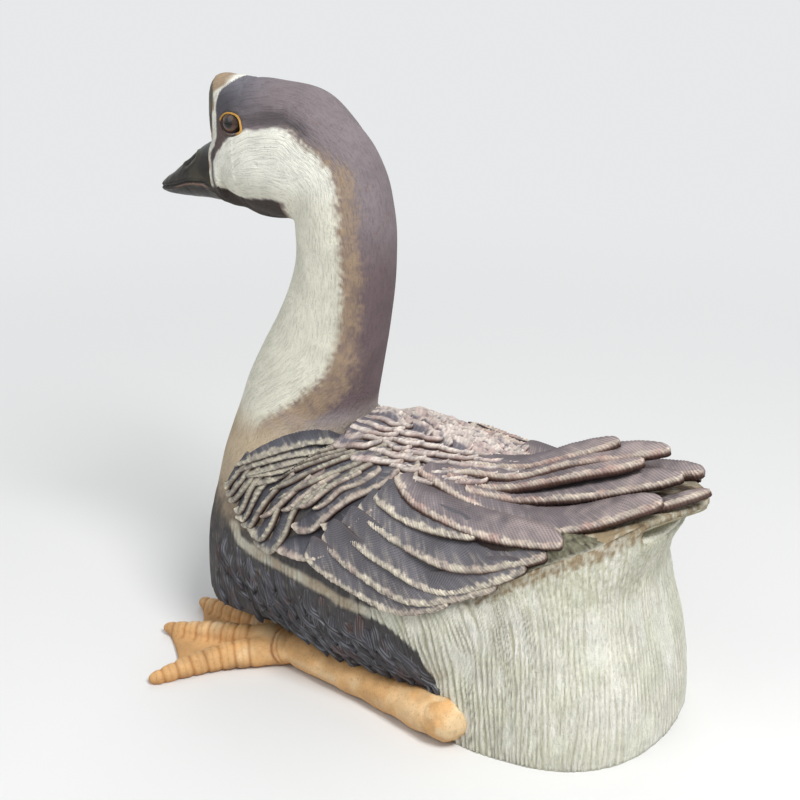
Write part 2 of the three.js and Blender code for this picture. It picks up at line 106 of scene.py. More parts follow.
def add_lamps():
    for name, (azimuth, elevation, distance, size, watts) in LAMPS.items():
        lamp = placed(name, bpy.data.lights.new(name, "AREA"))
        lamp.data.shape = "DISK"
        lamp.data.size = size
        lamp.data.energy = watts
        lamp.location, lamp.rotation_euler = look_from(azimuth, elevation, distance)


def add_sky():
    """Soft light from all round, and a pale backdrop behind the goose and in its glaze."""
    world = bpy.data.worlds.new("world")
    bpy.context.scene.world = world
    world.use_nodes = True
    tree = world.node_tree
    sky = tree.nodes["Background"]
    sky.inputs["Color"].default_value = SKY
    sky.inputs["Strength"].default_value = SKY_STRENGTH
    backdrop = node(tree, "ShaderNodeBackground", {"Color": BACKDROP})
    ray = tree.nodes.new("ShaderNodeLightPath").outputs
    either = {0: ray["Is Camera Ray"], 1: ray["Is Glossy Ray"]}
    seen = node(tree, "ShaderNodeMath", either, operation="MAXIMUM")
    chosen = node(tree, "ShaderNodeMixShader", {0: seen, 1: sky.outputs[0], 2: backdrop})
    tree.links.new(chosen, tree.nodes["World Output"].inputs["Surface"])


add_camera()
add_lamps()
add_sky()

# ---- numbers along lines ----

LINE_STEPS = 24  # straight steps between two points of a smooth line
# Numbers that turn whole numbers into others with no pattern to them.
SCRAMBLE = 73856093, 19349663, 1274126177
NOISE_START, NOISE_SEED = 1013904223, 7919
KEPT_BITS, LAST_BITS = 0x7FFFFFFF, 0xFFFF


def between(rows, at):
    """The other columns of rows at places along their first column, on a smooth cubic."""
    rows = np.asarray(rows, float)
    x, y = rows[:, 0], rows[:, 1:]
    number, last = np.arange(len(x)), len(x) - 1
    ahead, behind = np.minimum(number + 1, last), np.maximum(number - 1, 0)
    slope = (y[ahead] - y[behind]) / (x[ahead] - x[behind])[:, None]
    at = np.clip(at, x[0], x[-1])
    i = np.clip(np.searchsorted(x, at, side="right") - 1, 0, last - 1)
    span = (x[i + 1] - x[i])[..., None]
    t = (at - x[i])[..., None] / span
    found = (
        (2 * t**3 - 3 * t**2 + 1) * y[i]
        + (t**3 - 2 * t**2 + t) * slope[i] * span
        + (3 * t**2 - 2 * t**3) * y[i + 1]
        + (t**3 - t**2) * slope[i + 1] * span
    )
    return np.moveaxis(found, -1, 0)


def run_of(line):
    """How far along a line each of its points is."""
    return np.concatenate([[0], np.cumsum(np.linalg.norm(np.diff(line, axis=0), axis=1))])


def curve(points, share):
    """Points of a smooth line at shares of its length."""
    points = np.asarray(points, float)
    gaps = len(points) - 1
    p = np.vstack([2 * points[0] - points[1], points, 2 * points[-1] - points[-2]])
    u = np.linspace(0, 1, LINE_STEPS * gaps + 1) * gaps
    i = np.minimum(u.astype(int), gaps - 1)
    t = (u - i)[:, None]
    a, b, c, d = p[i], p[i + 1], p[i + 2], p[i + 3]
    bend, twist = 2 * a - 5 * b + 4 * c - d, 3 * b - a - 3 * c + d
    fine = 0.5 * (2 * b + (c - a) * t + bend * t**2 + twist * t**3)
    run = run_of(fine)
    return np.stack([np.interp(np.asarray(share) * run[-1], run, column) for column in fine.T], -1)


def traced(points, number):
    """The given number of points, evenly spaced along a smooth line."""
    return curve(points, np.linspace(0, 1, number))


def rise(value, low, high):
    """0 below low, 1 above high and smooth between."""
    t = np.clip((value - low) / (high - low), 0, 1)
    return t * t * (3 - 2 * t)


def fall(value, low, high):
    """1 below low, 0 above high and smooth between."""
    return rise(-value, -high, -low)


def bump(value, middle, width):
    """1 in the middle and falling to 0 on both sides."""
    return np.exp(-(((value - middle) / width) ** 2))


def wave(turns):
    """1 at whole turns, 0 halfway between."""
    return 0.5 + 0.5 * np.cos(2 * np.pi * turns)


def rounded(u, power):
    """1 in the middle, 0 at -1 and 1; the higher the power, the squarer."""
    return (1 - np.minimum(1, np.abs(u)) ** power) ** (1 / power)


def ring_reach(turn, power):
    """How far out a squarish ring is; power 2 is a circle."""
    return (np.abs(np.cos(turn)) ** power + np.abs(np.sin(turn)) ** power) ** (-1 / power)


def unit(vectors):
    return vectors / np.maximum(np.linalg.norm(vectors, axis=-1), 1e-9)[..., None]


def noise(points, size, seed=0):
    """Smooth noise from -1 to 1, with lumps of the given size."""
    p = np.asarray(points, float) / size
    cell = np.floor(p).astype(np.int64)
    f = p - cell
    f = f * f * (3 - 2 * f)
    total = 0
    for corner in np.ndindex(*(2,) * p.shape[-1]):
        key = np.full(p.shape[:-1], NOISE_START + NOISE_SEED * seed, np.int64)
        weight = 1
        for axis, step in enumerate(corner):
            key = ((key ^ ((cell[..., axis] + step) * SCRAMBLE[0])) * SCRAMBLE[1]) & KEPT_BITS
            key ^= key >> 13
            weight = weight * (f[..., axis] if step else 1 - f[..., axis])
        total = total + weight * (2 * (key & LAST_BITS) / LAST_BITS - 1)
    return total


def lot(index, seed):
    """A number from 0 to 1 for each whole number, as if drawn by lot."""
    key = (np.asarray(index).astype(np.int64) * SCRAMBLE[0] + SCRAMBLE[1] * (seed + 1)) & KEPT_BITS
    key = ((key ^ (key >> 13)) * SCRAMBLE[2]) & KEPT_BITS
    return ((key ^ (key >> 16)) & LAST_BITS) / LAST_BITS


def from_line(line, *at):
    """How far points are from an open line, and how far along it, from 0 to 1."""
    line = np.asarray(line, float)
    at = np.stack(at, -1)
    near = np.full(at.shape[:-1], np.inf)
    along = np.zeros(at.shape[:-1])
    for k, (a, b) in enumerate(zip(line, line[1:])):
        t = np.clip((at - a) @ (b - a) / ((b - a) @ (b - a)), 0, 1)
        gap = np.linalg.norm(at - a - t[..., None] * (b - a), axis=-1)
        along = np.where(gap < near, (k + t) / (len(line) - 1), along)
        near = np.minimum(near, gap)
    return near, along


def from_edge(outline, y, z):
    """How far a point is inside a closed outline in the plane of symmetry; outside is negative."""
    outline = np.asarray(outline, float)
    near, _ = from_line([*outline, outline[0]], y, z)
    inside = np.zeros(np.shape(y), bool)
    for (ay, az), (by, bz) in zip(outline, np.roll(outline, -1, 0)):
        if az != bz:
            inside ^= ((az > z) != (bz > z)) & (y < (by - ay) * (z - az) / (bz - az) + ay)
    return np.where(inside, near, -near)


# ---- colours ----


def ink(code):
    """The linear values of a colour's hexadecimal code."""
    s = np.array([int(code[i : i + 2], 16) for i in (0, 2, 4)]) / 255
    return np.where(s > 0.04045, ((s + 0.055) / 1.055) ** 2.4, s / 12.92)


def mix(base, other, share):
    """A colour with a share of another over it."""
    return base + (other - base) * np.clip(share, 0, 1)[..., None]


CREAM = ink("d6d4c4")
CHEEK = ink("e2e1d6")
CROWN = ink("7e7477")
NAPE = ink("6a5b5e")
TAN = ink("9d8871")
PINK_GREY = ink("b5a6a3")
BUFF = ink("b5a48b")
BROWN = ink("5e4d42")
SLATE = ink("4a4848")
SLATE_BLUE = ink("5f6069")
SLATE_HIGHLIGHT = ink("a9afb6")
LILAC = ink("8b8187")
RIM = ink("d9cbbb")
VANE = ink("807b80")
# The next colour is painted shade, for gaps, grooves and the undersides of plates.
SHADE_DARK = ink("2e2422")
RUST = ink("6b4438")
MOSS = ink("a9a88a")
CHIN = ink("3a322d")
DARK = ink("4a4447")
FOREHEAD_DARK = ink("424146")
LORE = ink("5d4f4c")
OCHRE = ink("d3a670")
OCHRE_PALE = ink("e4cba2")
OCHRE_DEEP = ink("a8713a")
ANKLE_BROWN = ink("8a4f30")
RUMP_CREAM = ink("dfdfd1")
RUMP_WHITE = ink("eceae2")
RUMP_GROOVE_SHADE = ink("aaa78c")
RUMP_EDGE = ink("8d7b60")
BREAST_GREY = ink("a9a295")
TAIL_BUFF = ink("9c8a6d")
TAIL_MIDDLE = ink("5a4636")
TAIL_UNDER = ink("8f7f66")
BILL_BLACK = ink("1f1b17")
BILL_OLIVE = ink("3f3c2a")
BILL_HIGHLIGHT = ink("5e6663")
KNOB_WORN = ink("6f6a5a")
LIP_HIGHLIGHT = ink("8d6f60")
HOLLOW_SHADE = ink("0c0a09")
IRIS = ink("3d2619")
IRIS_LIGHT = ink("6b4c38")
EYE_RING = ink("1a0f0a")
PUPIL = ink("0b0807")
LID_BROWN = ink("4d3c33")
LID_OCHRE = ink("b98b42")

# ---- meshes ----


def raw_mesh(name, verts, faces):
    mesh = bpy.data.meshes.new(name)
    mesh.from_pydata((verts * MM).tolist(), [], faces)
    return mesh


def mesh_object(name, verts, faces, paint=None, uv=None):
    mesh = raw_mesh(name, verts, faces)
    mesh.shade_smooth()
    if paint is not None:
        values = np.column_stack([paint, np.ones(len(paint))]).astype(np.float32)
        mesh.color_attributes.new("paint", "FLOAT_COLOR", "POINT").data.foreach_set("color", values.ravel())
    if uv is not None:
        corners = np.zeros(len(mesh.loops), np.int32)
        mesh.loops.foreach_get("vertex_index", corners)
        mesh.uv_layers.new(name="OFBake").data.foreach_set("uv", uv[corners].astype(np.float32).ravel())
    return placed(name, mesh)


def read_back(mesh):
    """A mesh's points, in millimetres, and its normals at them."""
    found = []
    for key in ("co", "normal"):
        values = np.zeros(len(mesh.vertices) * 3, np.float32)
        mesh.vertices.foreach_get(key, values)
        found.append(values.reshape(-1, 3).astype(float))
    return found[0] / MM, found[1]


def loft(place, rows, around):
    """A closed form whose rings place(t, turn) gives; it comes to a point at both ends."""
    t = np.linspace(0, 1, rows + 1)[:, None]
    turn = np.linspace(0, 2 * np.pi, around, endpoint=False)[None, :]
    rings = np.stack(np.broadcast_arrays(*place(t, turn)), -1)
    verts = np.concatenate([rings[0, :1], rings[1:-1].reshape(-1, 3), rings[-1, :1]])
    last = len(verts) - 1
    faces = []
    for j in range(around):
        k = (j + 1) % around
        faces.append([0, 1 + k, 1 + j])
        faces.append([last, last - around + j, last - around + k])
        for low in range(1, last - around, around):
            faces.append([low + j, low + k, low + around + k, low + around + j])
    return verts, faces


def grid_faces(grid):
    """The faces between the rows and columns of a grid of point numbers."""
    return np.stack([grid[:-1, :-1], grid[1:, :-1], grid[1:, 1:], grid[:-1, 1:]], -1).reshape(-1, 4)


def plate_faces(rows, cols):
    """The faces of a closed plate, whose points are a grid for its top and then one for its underside."""
    apart = rows * cols
    top = np.arange(apart).reshape(rows, cols)
    ring = np.concatenate([top[:, 0], top[-1, 1:], top[-2::-1, -1], top[0, -2:0:-1]])
    after = np.roll(ring, -1)
    rim = np.stack([after, ring, ring + apart, after + apart], -1)
    return np.concatenate([grid_faces(top), grid_faces(top + apart)[:, [0, 3, 2, 1]], rim])


def melted(parts, voxel, smoothing):
    """Closed forms that overlap become one evenly meshed body. Gives its points, normals and faces."""
    verts, faces = [], []
    for part_verts, part_faces in parts:
        start = sum(map(len, verts))
        verts.append(part_verts)
        faces += [[start + corner for corner in face] for face in part_faces]
    rough = mesh_object("rough", np.concatenate(verts), faces)
    remesh = rough.modifiers.new("melt", "REMESH")
    remesh.mode = "VOXEL"
    remesh.voxel_size = voxel * MM
    smooth = rough.modifiers.new("smooth", "SMOOTH")
    smooth.factor = 0.5
    smooth.iterations = smoothing
    made = bpy.data.meshes.new_from_object(rough.evaluated_get(bpy.context.evaluated_depsgraph_get()))
    bpy.data.objects.remove(rough)
    verts, normals = read_back(made)
    faces = [list(face.vertices) for face in made.polygons]
    bpy.data.meshes.remove(made)
    return verts, normals, faces


def normals_of(verts, faces):
    mesh = raw_mesh("scratch", verts, faces)
    normals = read_back(mesh)[1]
    bpy.data.meshes.remove(mesh)
    return normals


# ---- the body's forms, as in the solids ----

FLOOR_SINK = 6
INSET = 1.5  # the trunk and the rump stay this far inside the solids, under their plumage
TRUNK_ENDS, TRUNK_HALF = (-184, 236), 110
TRUNK_LINES = [  # y, the top, the widest height
    (-184, 142, 84), (-120, 192, 98), (-40, 212, 102), (20, 214, 98), (75, 203, 94), (130, 192, 90),
    (236, 186, 84),
]
RUMP_AXIS, RUMP_HEIGHT = 150, 196
RUMP_RINGS = [  # height, half length, half width
    (-6, 106, 111), (14, 106, 112), (40, 104, 110), (75, 98, 106), (105, 90, 101), (138, 84, 97),
    (165, 92, 90), (190, 104, 78),
]
NECK_RINGS = [  # y, height, half depth, half width
    (-96, -6, 70, 62), (-99, 26, 82, 80), (-101, 68, 82, 86), (-101, 112, 78, 84), (-100, 160, 67, 76),
    (-93, 200, 61, 62), (-84, 235, 57, 53), (-68, 280, 50, 45), (-56, 320, 45, 40), (-51, 355, 43, 38),
    (-52, 390, 43, 37), (-60, 425, 40, 33), (-80, 455, 32, 26),
]
HEAD_ENDS = -171, -19
HEAD_LINES = [  # y, top, middle, bottom, half width
    (-171, 492, 440, 394, 25), (-145, 495, 436, 386, 30), (-110, 494, 434, 381, 33),
    (-80, 491, 434, 382, 34), (-60, 481, 428, 388, 32), (-37, 458, 422, 396, 27), (-19, 426, 415, 402, 18),
]
BILL_TIP, BILL_ROOT = -236, -160
BILL_LINES = [  # y, top, middle, bottom, half width
    (-236, 397, 391, 385, 9), (-224, 405, 395, 385, 12), (-205, 420, 399, 386, 15),
    (-185, 435, 403, 387, 18), (-160, 444, 406, 387, 21),
]
# Round forms, each with y, height, half length, half width, half height and squareness.
KNOB = -164.5, 462, 15.5, 13.5, 32, 3.0
FOREHEAD = -149, 458, 24, 20, 35.5, 2.6
CHIN_FORM = -153, 395, 20, 14, 11.5, 2.2
DEWLAP = -122, 391, 33, 11, 13, 2


def spaced(t, front, back):
    """y from front to back, in finer steps near both, and how near it is to them, from -1 to 1."""
    y = front + (1 - np.cos(np.pi * t)) / 2 * (back - front)
    return y, (2 * y - front - back) / (back - front)


def trunk():
    def place(t, turn):
        y, u = spaced(t, TRUNK_ENDS[0] + INSET, TRUNK_ENDS[1] - INSET)
        plan = rounded(u, np.where(u < 0, 2.05, 2.6))
        top, middle = between(TRUNK_LINES, y)
        up = (top - middle - INSET) * plan
        down = (middle + FLOOR_SINK - INSET) * rounded(u, 4.5)
        reach = ring_reach(turn, 2.2)
        lift = np.cos(turn) * reach
        across = (TRUNK_HALF - INSET) * plan * np.sin(turn) * reach
        return across, y, middle + lift * np.where(lift > 0, up, down)

    return loft(place, rows=70, around=96)


def rump():
    def place(t, turn):
        z = -FLOOR_SINK + t * (RUMP_HEIGHT - INSET)
        long, half = between(RUMP_RINGS, z)
        reach = ring_reach(turn, 2.45)
        across, forward = (half - INSET) * np.sin(turn), (long - INSET) * np.cos(turn)
        return across * reach, RUMP_AXIS + forward * reach, z

    return loft(place, rows=48, around=96)


def neck():
    rings = np.column_stack([np.linspace(0, 1, len(NECK_RINGS)), NECK_RINGS])

    def place(t, turn):
        y, z, deep, half = between(rings, t)
        dy, dz = np.gradient(y, axis=0), np.gradient(z, axis=0)
        size, forward = np.hypot(dy, dz), deep * np.cos(turn)
        return half * np.sin(turn), y - forward * dz / size, z + forward * dy / size

    return loft(place, rows=90, around=72)


def head():
    def place(t, turn):
        y, u = spaced(t, *HEAD_ENDS)
        full = rounded(u, 4)
        top, middle, bottom, half = between(HEAD_LINES, y)
        reach = ring_reach(turn, 2.2)
        lift = np.cos(turn) * reach
        tall = np.where(lift > 0, top - middle, middle - bottom)
        return half * full * np.sin(turn) * reach, y, middle + lift * tall * full

    return loft(place, rows=56, around=64)


def bill():
    def place(t, turn):
        long = BILL_ROOT - BILL_TIP
        y = BILL_TIP + (1 - np.cos(np.pi / 2 * t)) * long
        full = rounded((BILL_ROOT - y) / long, 5.5)
        top, middle, bottom, half = between(BILL_LINES, y)
        lift = np.cos(turn)
        tall = np.where(lift > 0, top - middle, middle - bottom)
        return half * full * np.sin(turn), y, middle + lift * tall * full

    return loft(place, rows=40, around=48)


def egg(y, z, long, half, high, squareness):
    """A round form in the plane of symmetry."""
    def place(t, turn):
        tip = ring_reach(np.pi * t, squareness)
        level = np.sin(np.pi * t) * ring_reach(turn, squareness) * tip
        upward = high * np.cos(np.pi * t) * tip
        return half * level * np.sin(turn), y + long * level * np.cos(turn), z - upward

    return loft(place, rows=28, around=40)


# ---- markings, the same on the skin and on the plumage over it ----

# Outlines and lines in the plane of symmetry, as (y, z).
CREAM_NECK = [
    (-158, 436), (-152, 443), (-137, 452), (-126, 457), (-112, 460), (-93, 462), (-83, 459), (-73, 451),
    (-59, 442), (-47, 430), (-42, 418), (-40, 406), (-38, 392), (-37, 372), (-35, 345), (-37, 312),
    (-41, 286), (-49, 263), (-71, 240), (-104, 216), (-124, 150), (-250, 120), (-250, 360), (-99, 360),
    (-96, 386), (-93, 400), (-107, 403), (-136, 398), (-155, 400), (-167, 404), (-172, 414), (-171, 423),
    (-165, 430),
]
CREAM_SIDE = [
    (34, 130), (38, 96), (58, 88), (80, 74), (92, 44), (102, -20), (400, -20), (400, 260), (100, 260),
]
PALE_LINE = [
    (-117, 125), (-111, 115), (-106, 113), (-86, 112), (-65, 112), (-34, 109), (-14, 106), (7, 101),
    (38, 96), (58, 88), (80, 74), (92, 44), (102, 20),
]
BROW = [(-150, 470), (-133, 464), (-113, 467), (-93, 469), (-72, 461)]
BROW_DENT = [(-133, 472), (-113, 473), (-89, 467), (-70, 459)]
EAR = -115, 431
# The pale band round the bill's root, as height, its front edge and its rear edge.
BAND = [
    (390, -165, -164), (402, -170, -168), (411, -172, -170), (421, -174, -171.5), (430, -177.5, -174.5),
    (437, -178, -170), (444, -175, -163), (453, -172, -162), (462, -171, -163.5), (470, -170, -165),
    (477, -170, -163.5), (483, -171, -161), (489, -172, -154), (495, -172.5, -146),
]

# How high the rump's plumage reaches under the wing and the tail, as y and height.
RUMP_TOP = np.array([
    (0, 60, 100, 128, 152, 176, 212, 243, 272),
    (100, 103, 121, 136, 151, 165, 182, 198, 206),
], float)

# The lower hem of the plumage over the feet, as y and height, and how far the body draws in under it.
HEM = np.array([
    (-190, -112, -60, -39, -18, 8, 41, 72, 96),
    (42, 50, 52, 45, 37, 31, 28, 22, 24),
], float)
HOLLOW = 24

# The highest that the back reaches along its middle, as y and height, and how it falls away to the sides.
CEILING = np.array([
    (-26, -14, 10, 29, 48, 70, 110, 140, 176),
    (400, 222, 211, 208, 205, 202, 201, 205, 214),
], float)
CAMBER, NAPE_FOOT, MANTLE_FRONT = 0.0034, 238, 217


def drawn_in(p, n):
    """Points of the body, moved in under the hem where the feet come out, and down where the mantle lies."""
    level = n[:, :2] / np.maximum(np.hypot(n[:, 0], n[:, 1]), 0.3)[:, None]
    under = np.interp(p[:, 1], *HEM) - 4 - p[:, 2]
    deep = HOLLOW * rise(under, 0, 16) * fall(p[:, 1], -40, 20)
    ceiling = np.interp(p[:, 1], *CEILING) - CAMBER * p[:, 0] ** 2
    high = np.where(p[:, 2] < NAPE_FOOT, np.minimum(p[:, 2], ceiling), p[:, 2])
    return np.column_stack([p[:, :2] - level * deep[:, None], high])


def crown_paint(p, blur, stipple):
    """The dark crown and nape, with a painted blue sheen on top of the forehead, and the brow over the cheek.
    """
    y, z = p[:, 1], p[:, 2]
    paint = mix(NAPE, CROWN, rise(z + 0.5 * y, 330, 400))
    paint = mix(paint, LILAC, fall(z, 222, 236) * 0.8)
    paint = mix(paint, RUST, rise(noise(p, 6, 7) + stipple, 0.7, 1.4) * 0.3)
    # a painted blue sheen on top of the forehead
    paint = mix(paint, SLATE_BLUE, fall(y, -150, -100) * rise(z, 462, 476) * 0.75)
    off_brow, _ = from_line(BROW, y, z)
    brow = bump(off_brow, 0, 8 + 3 * blur) * fall(y, -80, -50) * rise(z, 430, 446)
    paint = mix(paint, DARK, brow * 0.85)
    forehead = fall(y + 0.25 * blur, -158, -128) * fall(z, 474, 492) * rise(z, 440, 456)
    paint = mix(paint, FOREHEAD_DARK, forehead * 0.8)
    return mix(paint, LORE, fall(y, -154, -140) * fall(z, 446, 466) * rise(z, 385, 400))


def tan_width(z):
    """How wide the tan band is outside the cream neck's edge."""
    return 13 * fall(z, 432, 462) + 4 * fall(z, 266, 290) + 5 * fall(z, 236, 266)


def markings(p):
    """The clay's painted colour at points of the body."""
    y, z = p[:, 1], p[:, 2]
    blur = noise(p, 9, 1) + 0.6 * noise(p, 3, 2)
    stipple = noise(p, 2.2, 6)
    inside = from_edge(CREAM_NECK, y, z) + 1.2 * blur
    upper = rise(z, 388, 402)
    # the stippled tan band along the edge of the cream neck
    width, soft = tan_width(z), inside + 3.4 * stipple
    blotch = np.clip(0.78 + 0.4 * noise(p, 5, 12) + 0.3 * stipple, 0.3, 1)
    paint = crown_paint(p, blur, stipple)
    behind_head = rise(soft, -width - 7, -width + 5) * upper * rise(y, -100, -72)
    paint = mix(paint, TAN, behind_head * 0.9 * blotch)
    behind_neck = rise(soft, -width - 6, -width + 4) * (1 - upper) * rise(y, -150, -135)
    paint = mix(paint, TAN, behind_neck * 0.95 * blotch)
    # the cream neck and cheek, with a sharp edge on the head and a loose one below
    light = mix(CREAM, CHEEK, rise(z, 400, 425))
    loose = 1 - fall(y, -110, -70) * upper
    paint = mix(paint, light, rise(inside + loose * 3.2 * stipple, -1.2 - 3.5 * loose, 1.2 + 3 * loose))
    chin = fall(z, 399, 404) * fall(y, -99, -97) * fall(inside, -2, 0) * rise(z, 360, 362)
    paint = mix(paint, CHIN, chin)
    # the band round the bill's root, and the dark line behind it
    front, back = between(BAND, z)
    belt = np.minimum(np.minimum(y - front + 1.2, back - y), (z - 403) / 2)
    dark_line = bump(y - back, 2.2, 1.8) * fall(z, 436, 448) * rise(z, 388, 400) * (y < -150)
    paint = mix(paint, DARK, dark_line)
    top = rise(z, 478, 490)
    band = mix(TAN, light, rise(y - front + 3 * noise(p, 7, 3), -1 + 14 * top, 3 + 18 * top))
    paint = mix(paint, band, rise(belt, -0.5, 0.7) * (y < -140))
    # the foot of the neck and the breast
    low = z + 10 * blur + 0.12 * y
    base = mix(light, BUFF, fall(low, 195, 245))
    base = mix(base, BROWN, fall(low, 118, 150) * 0.5)
    base = mix(base, SLATE, fall(low, 98, 138))
    paint = mix(paint, base, fall(z, 196, 232))
    # the sides in slate: the flank's own colour, and under the wing's feathers painted shade as well
    paint = mix(paint, SLATE, rise(y, -70, -40) * fall(z, 190, 215))
    shoulder = rise(y, -45, -5) * rise(z, 176, 190) * fall(z, 225, 240)
    paint = mix(paint, mix(VANE, BUFF, 0.5 + 0.5 * stipple), shoulder * 0.8)
    paint = mix(paint, CREAM, rise(from_edge(CREAM_SIDE, y, z) + 1.5 * blur, -1.5, 1.5))
    # painted shade on the body under the wing and the tail, mossy towards the rear
    shade_and_moss = mix(SHADE_DARK, MOSS, rise(y, 140, 170) * (0.35 + 0.4 * stipple))
    paint = mix(paint, shade_and_moss, rise(y, 60, 80) * rise(z - np.interp(y, *RUMP_TOP), -1, 4))
    # the pale line under the wing
    off_line, _ = from_line(PALE_LINE, y, z)
    pale = mix(BUFF, CREAM, 0.5 + 0.5 * noise(p, 12, 4) + 0.3 * stipple)
    return mix(paint, pale, rise(4.2 - off_line + blur, -2.4, 1.6) * 0.85 * (y > -150))


# ---- the skin ----

FINE_ABOVE = 372  # the head's mesh is twice as fine as the body's
# The eye's rolled rim from the side: its middle, its reach along y and up, and the way to its rear corner.
EYE_AT, EYE_REACH, EYE_CORNER = (-143.6, 459.3), (12.2, 9.1), -0.42
STROKE = 0.22  # how wide a stroke of the comb is for its length
FAR = 400  # rays start further out than any part of the goose


def refined(verts, faces):
    """The same body with the faces of its head parted in four."""
    mesh = bmesh.new()
    made = [mesh.verts.new(v) for v in verts]
    for face in faces:
        mesh.faces.new([made[i] for i in face])
    edges = [e for e in mesh.edges if min(e.verts[0].co.z, e.verts[1].co.z) > FINE_ABOVE]
    bmesh.ops.subdivide_edges(mesh, edges=edges, cuts=1, use_grid_fill=True, smooth=0)
    mesh.verts.ensure_lookup_table()
    fine = [v for v in mesh.verts if v.co.z > FINE_ABOVE + 4]
    for _ in range(3):
        bmesh.ops.smooth_vert(mesh, verts=fine, factor=0.5, use_axis_x=True, use_axis_y=True, use_axis_z=True)
    mesh.verts.index_update()
    verts = np.array([v.co for v in mesh.verts])
    faces = [[v.index for v in face.verts] for face in mesh.faces]
    mesh.free()
    return verts, faces


def eye_reach(turn):
    """How far out the eye's rim is in a direction: it is round but for its rear corner."""
    return 1 + 0.16 * bump(turn, EYE_CORNER, 0.3)


def from_eye(y, z):
    """How far out from the eye's middle a point is, where its rim is 1."""
    along, up = (y - EYE_AT[0]) / EYE_REACH[0], (z - EYE_AT[1]) / EYE_REACH[1]
    return np.hypot(along, up) / eye_reach(np.arctan2(up, along))


def sculpted(p, n):
    """The skin's points with the band, cheek, eye socket, brow and ear raised or sunk along its normals."""
    x, y, z = np.abs(p[:, 0]), p[:, 1], p[:, 2]
    front, back = between(BAND, z)
    on_head = rise(z, 386, 390)
    belt = np.minimum(y - front + 1.5, back - y)
    out = (0.7 * rise(y - front, -1.2, 0.6) + 0.5 * rise(belt, -0.8, 0.8)) * on_head * (y < -140)
    out -= (1.2 * rise(front - y, 0.2, 1.6) + 2.5 * rise(front - y, 4, 12)) * on_head
    cheek = from_edge(CREAM_NECK, y, z)
    out += 1.3 * rise(cheek, -1.5, 3) * rise(z, 385, 396) * fall(y, -100, -75)
    gap = from_eye(y, z)
    out += (bump(gap, 1.2, 0.25) - 5 * fall(gap, 0.62, 0.92)) * rise(x, 12, 18) * (z > 430)
    brow, _ = from_line(BROW_DENT, y, z)
    out -= bump(brow, 0, 6) * (z > 440)
    out -= 1.2 * bump(np.hypot(y - EAR[0], z - EAR[1]), 0, 1.3) * (x > 20)
    out += 0.35 * noise(p, 22, 5)
    moved = p + n * out[:, None]
    moved[:, 2] = np.maximum(moved[:, 2], 0)
    return moved


def skin_mesh():
    """The whole body as one mesh: the forms melted together, then drawn in and sculpted."""
    eggs = [egg(*form) for form in (KNOB, FOREHEAD, CHIN_FORM, DEWLAP)]
    verts, _, faces = melted([trunk(), rump(), neck(), head(), bill(), *eggs], voxel=2.6, smoothing=4)
    verts, faces = refined(verts, faces)
    verts = drawn_in(verts, normals_of(verts, faces))
    return sculpted(verts, normals_of(verts, faces)), faces


skin_verts, skin_faces = skin_mesh()
skin_normals = normals_of(skin_verts, skin_faces)
skin_tree = BVHTree.FromPolygons(skin_verts.tolist(), skin_faces)


def skin_piece():
    """The skin, with values that say how its incised strokes run: along the edge of the cream neck."""
    x, y, z = skin_verts.T
    skin = mesh_object("skin", skin_verts, skin_faces, markings(skin_verts))
    grain = np.column_stack([x, from_edge(CREAM_NECK, y, z), (z - y / 2) * STROKE]) * MM
    values = skin.data.attributes.new("grain", "FLOAT_VECTOR", "POINT").data
    values.foreach_set("vector", grain.astype(np.float32).ravel())
    return skin


def met(hits, starts):
    """The skin's points in a list of hits, and its normals there. A miss stays where it started."""
    on = [hit[0] if hit[0] else start for hit, start in zip(hits, starts.reshape(-1, 3))]
    out = [unit(skin_normals[skin_faces[hit[2]]].mean(0)) if hit[0] else (0, 0, 1) for hit in hits]
    return np.array(on).reshape(starts.shape), np.array(out).reshape(starts.shape)


def nearest(points):
    """The nearest points of the skin, and its normals there."""
    return met([skin_tree.find_nearest(Vector(q)) for q in points.reshape(-1, 3)], points)


def cast(start, direction):
    """Where rays meet the skin, and its normals there."""
    rays = zip(start.reshape(-1, 3), np.broadcast_to(direction, start.shape).reshape(-1, 3))
    return met([skin_tree.ray_cast(Vector(a), Vector(b)) for a, b in rays], start)


def up_lean(lean):
    """The direction up a slope. Lean 0 faces sideways, 90 upward."""
    tilt = np.radians(lean)
    return np.stack([-np.sin(tilt), 0 * tilt, np.cos(tilt)], -1)


def laid(line, lean):
    """A line of (y, up the lean) seen from the left, laid on the skin."""
    up = up_lean(lean)
    out = np.array([up[2], 0, -up[0]])
    return cast(np.outer(line[:, 0], (0, 1, 0)) + np.outer(line[:, 1], up) + FAR * out, -out)


# ---- plumage ----
# A coat is a list of plates that become one mesh. A plate is its top, its underside and the paint on each.

THINNEST = 0.05  # half the width of a feather at its very ends
# The seeds of the noise on the feathers: each coat counts on from its own.
FIRST_SEED = dict(secondaries=40, primaries=50, rump=57, coverts=60, mantle=120, flank=200)
# Each plate's patch of the map is a square: its top lies over the first part, its underside over the rest.
PATCH_EDGE, PATCH_TOP, PATCH_UNDER = 0.03, 0.78, 0.82


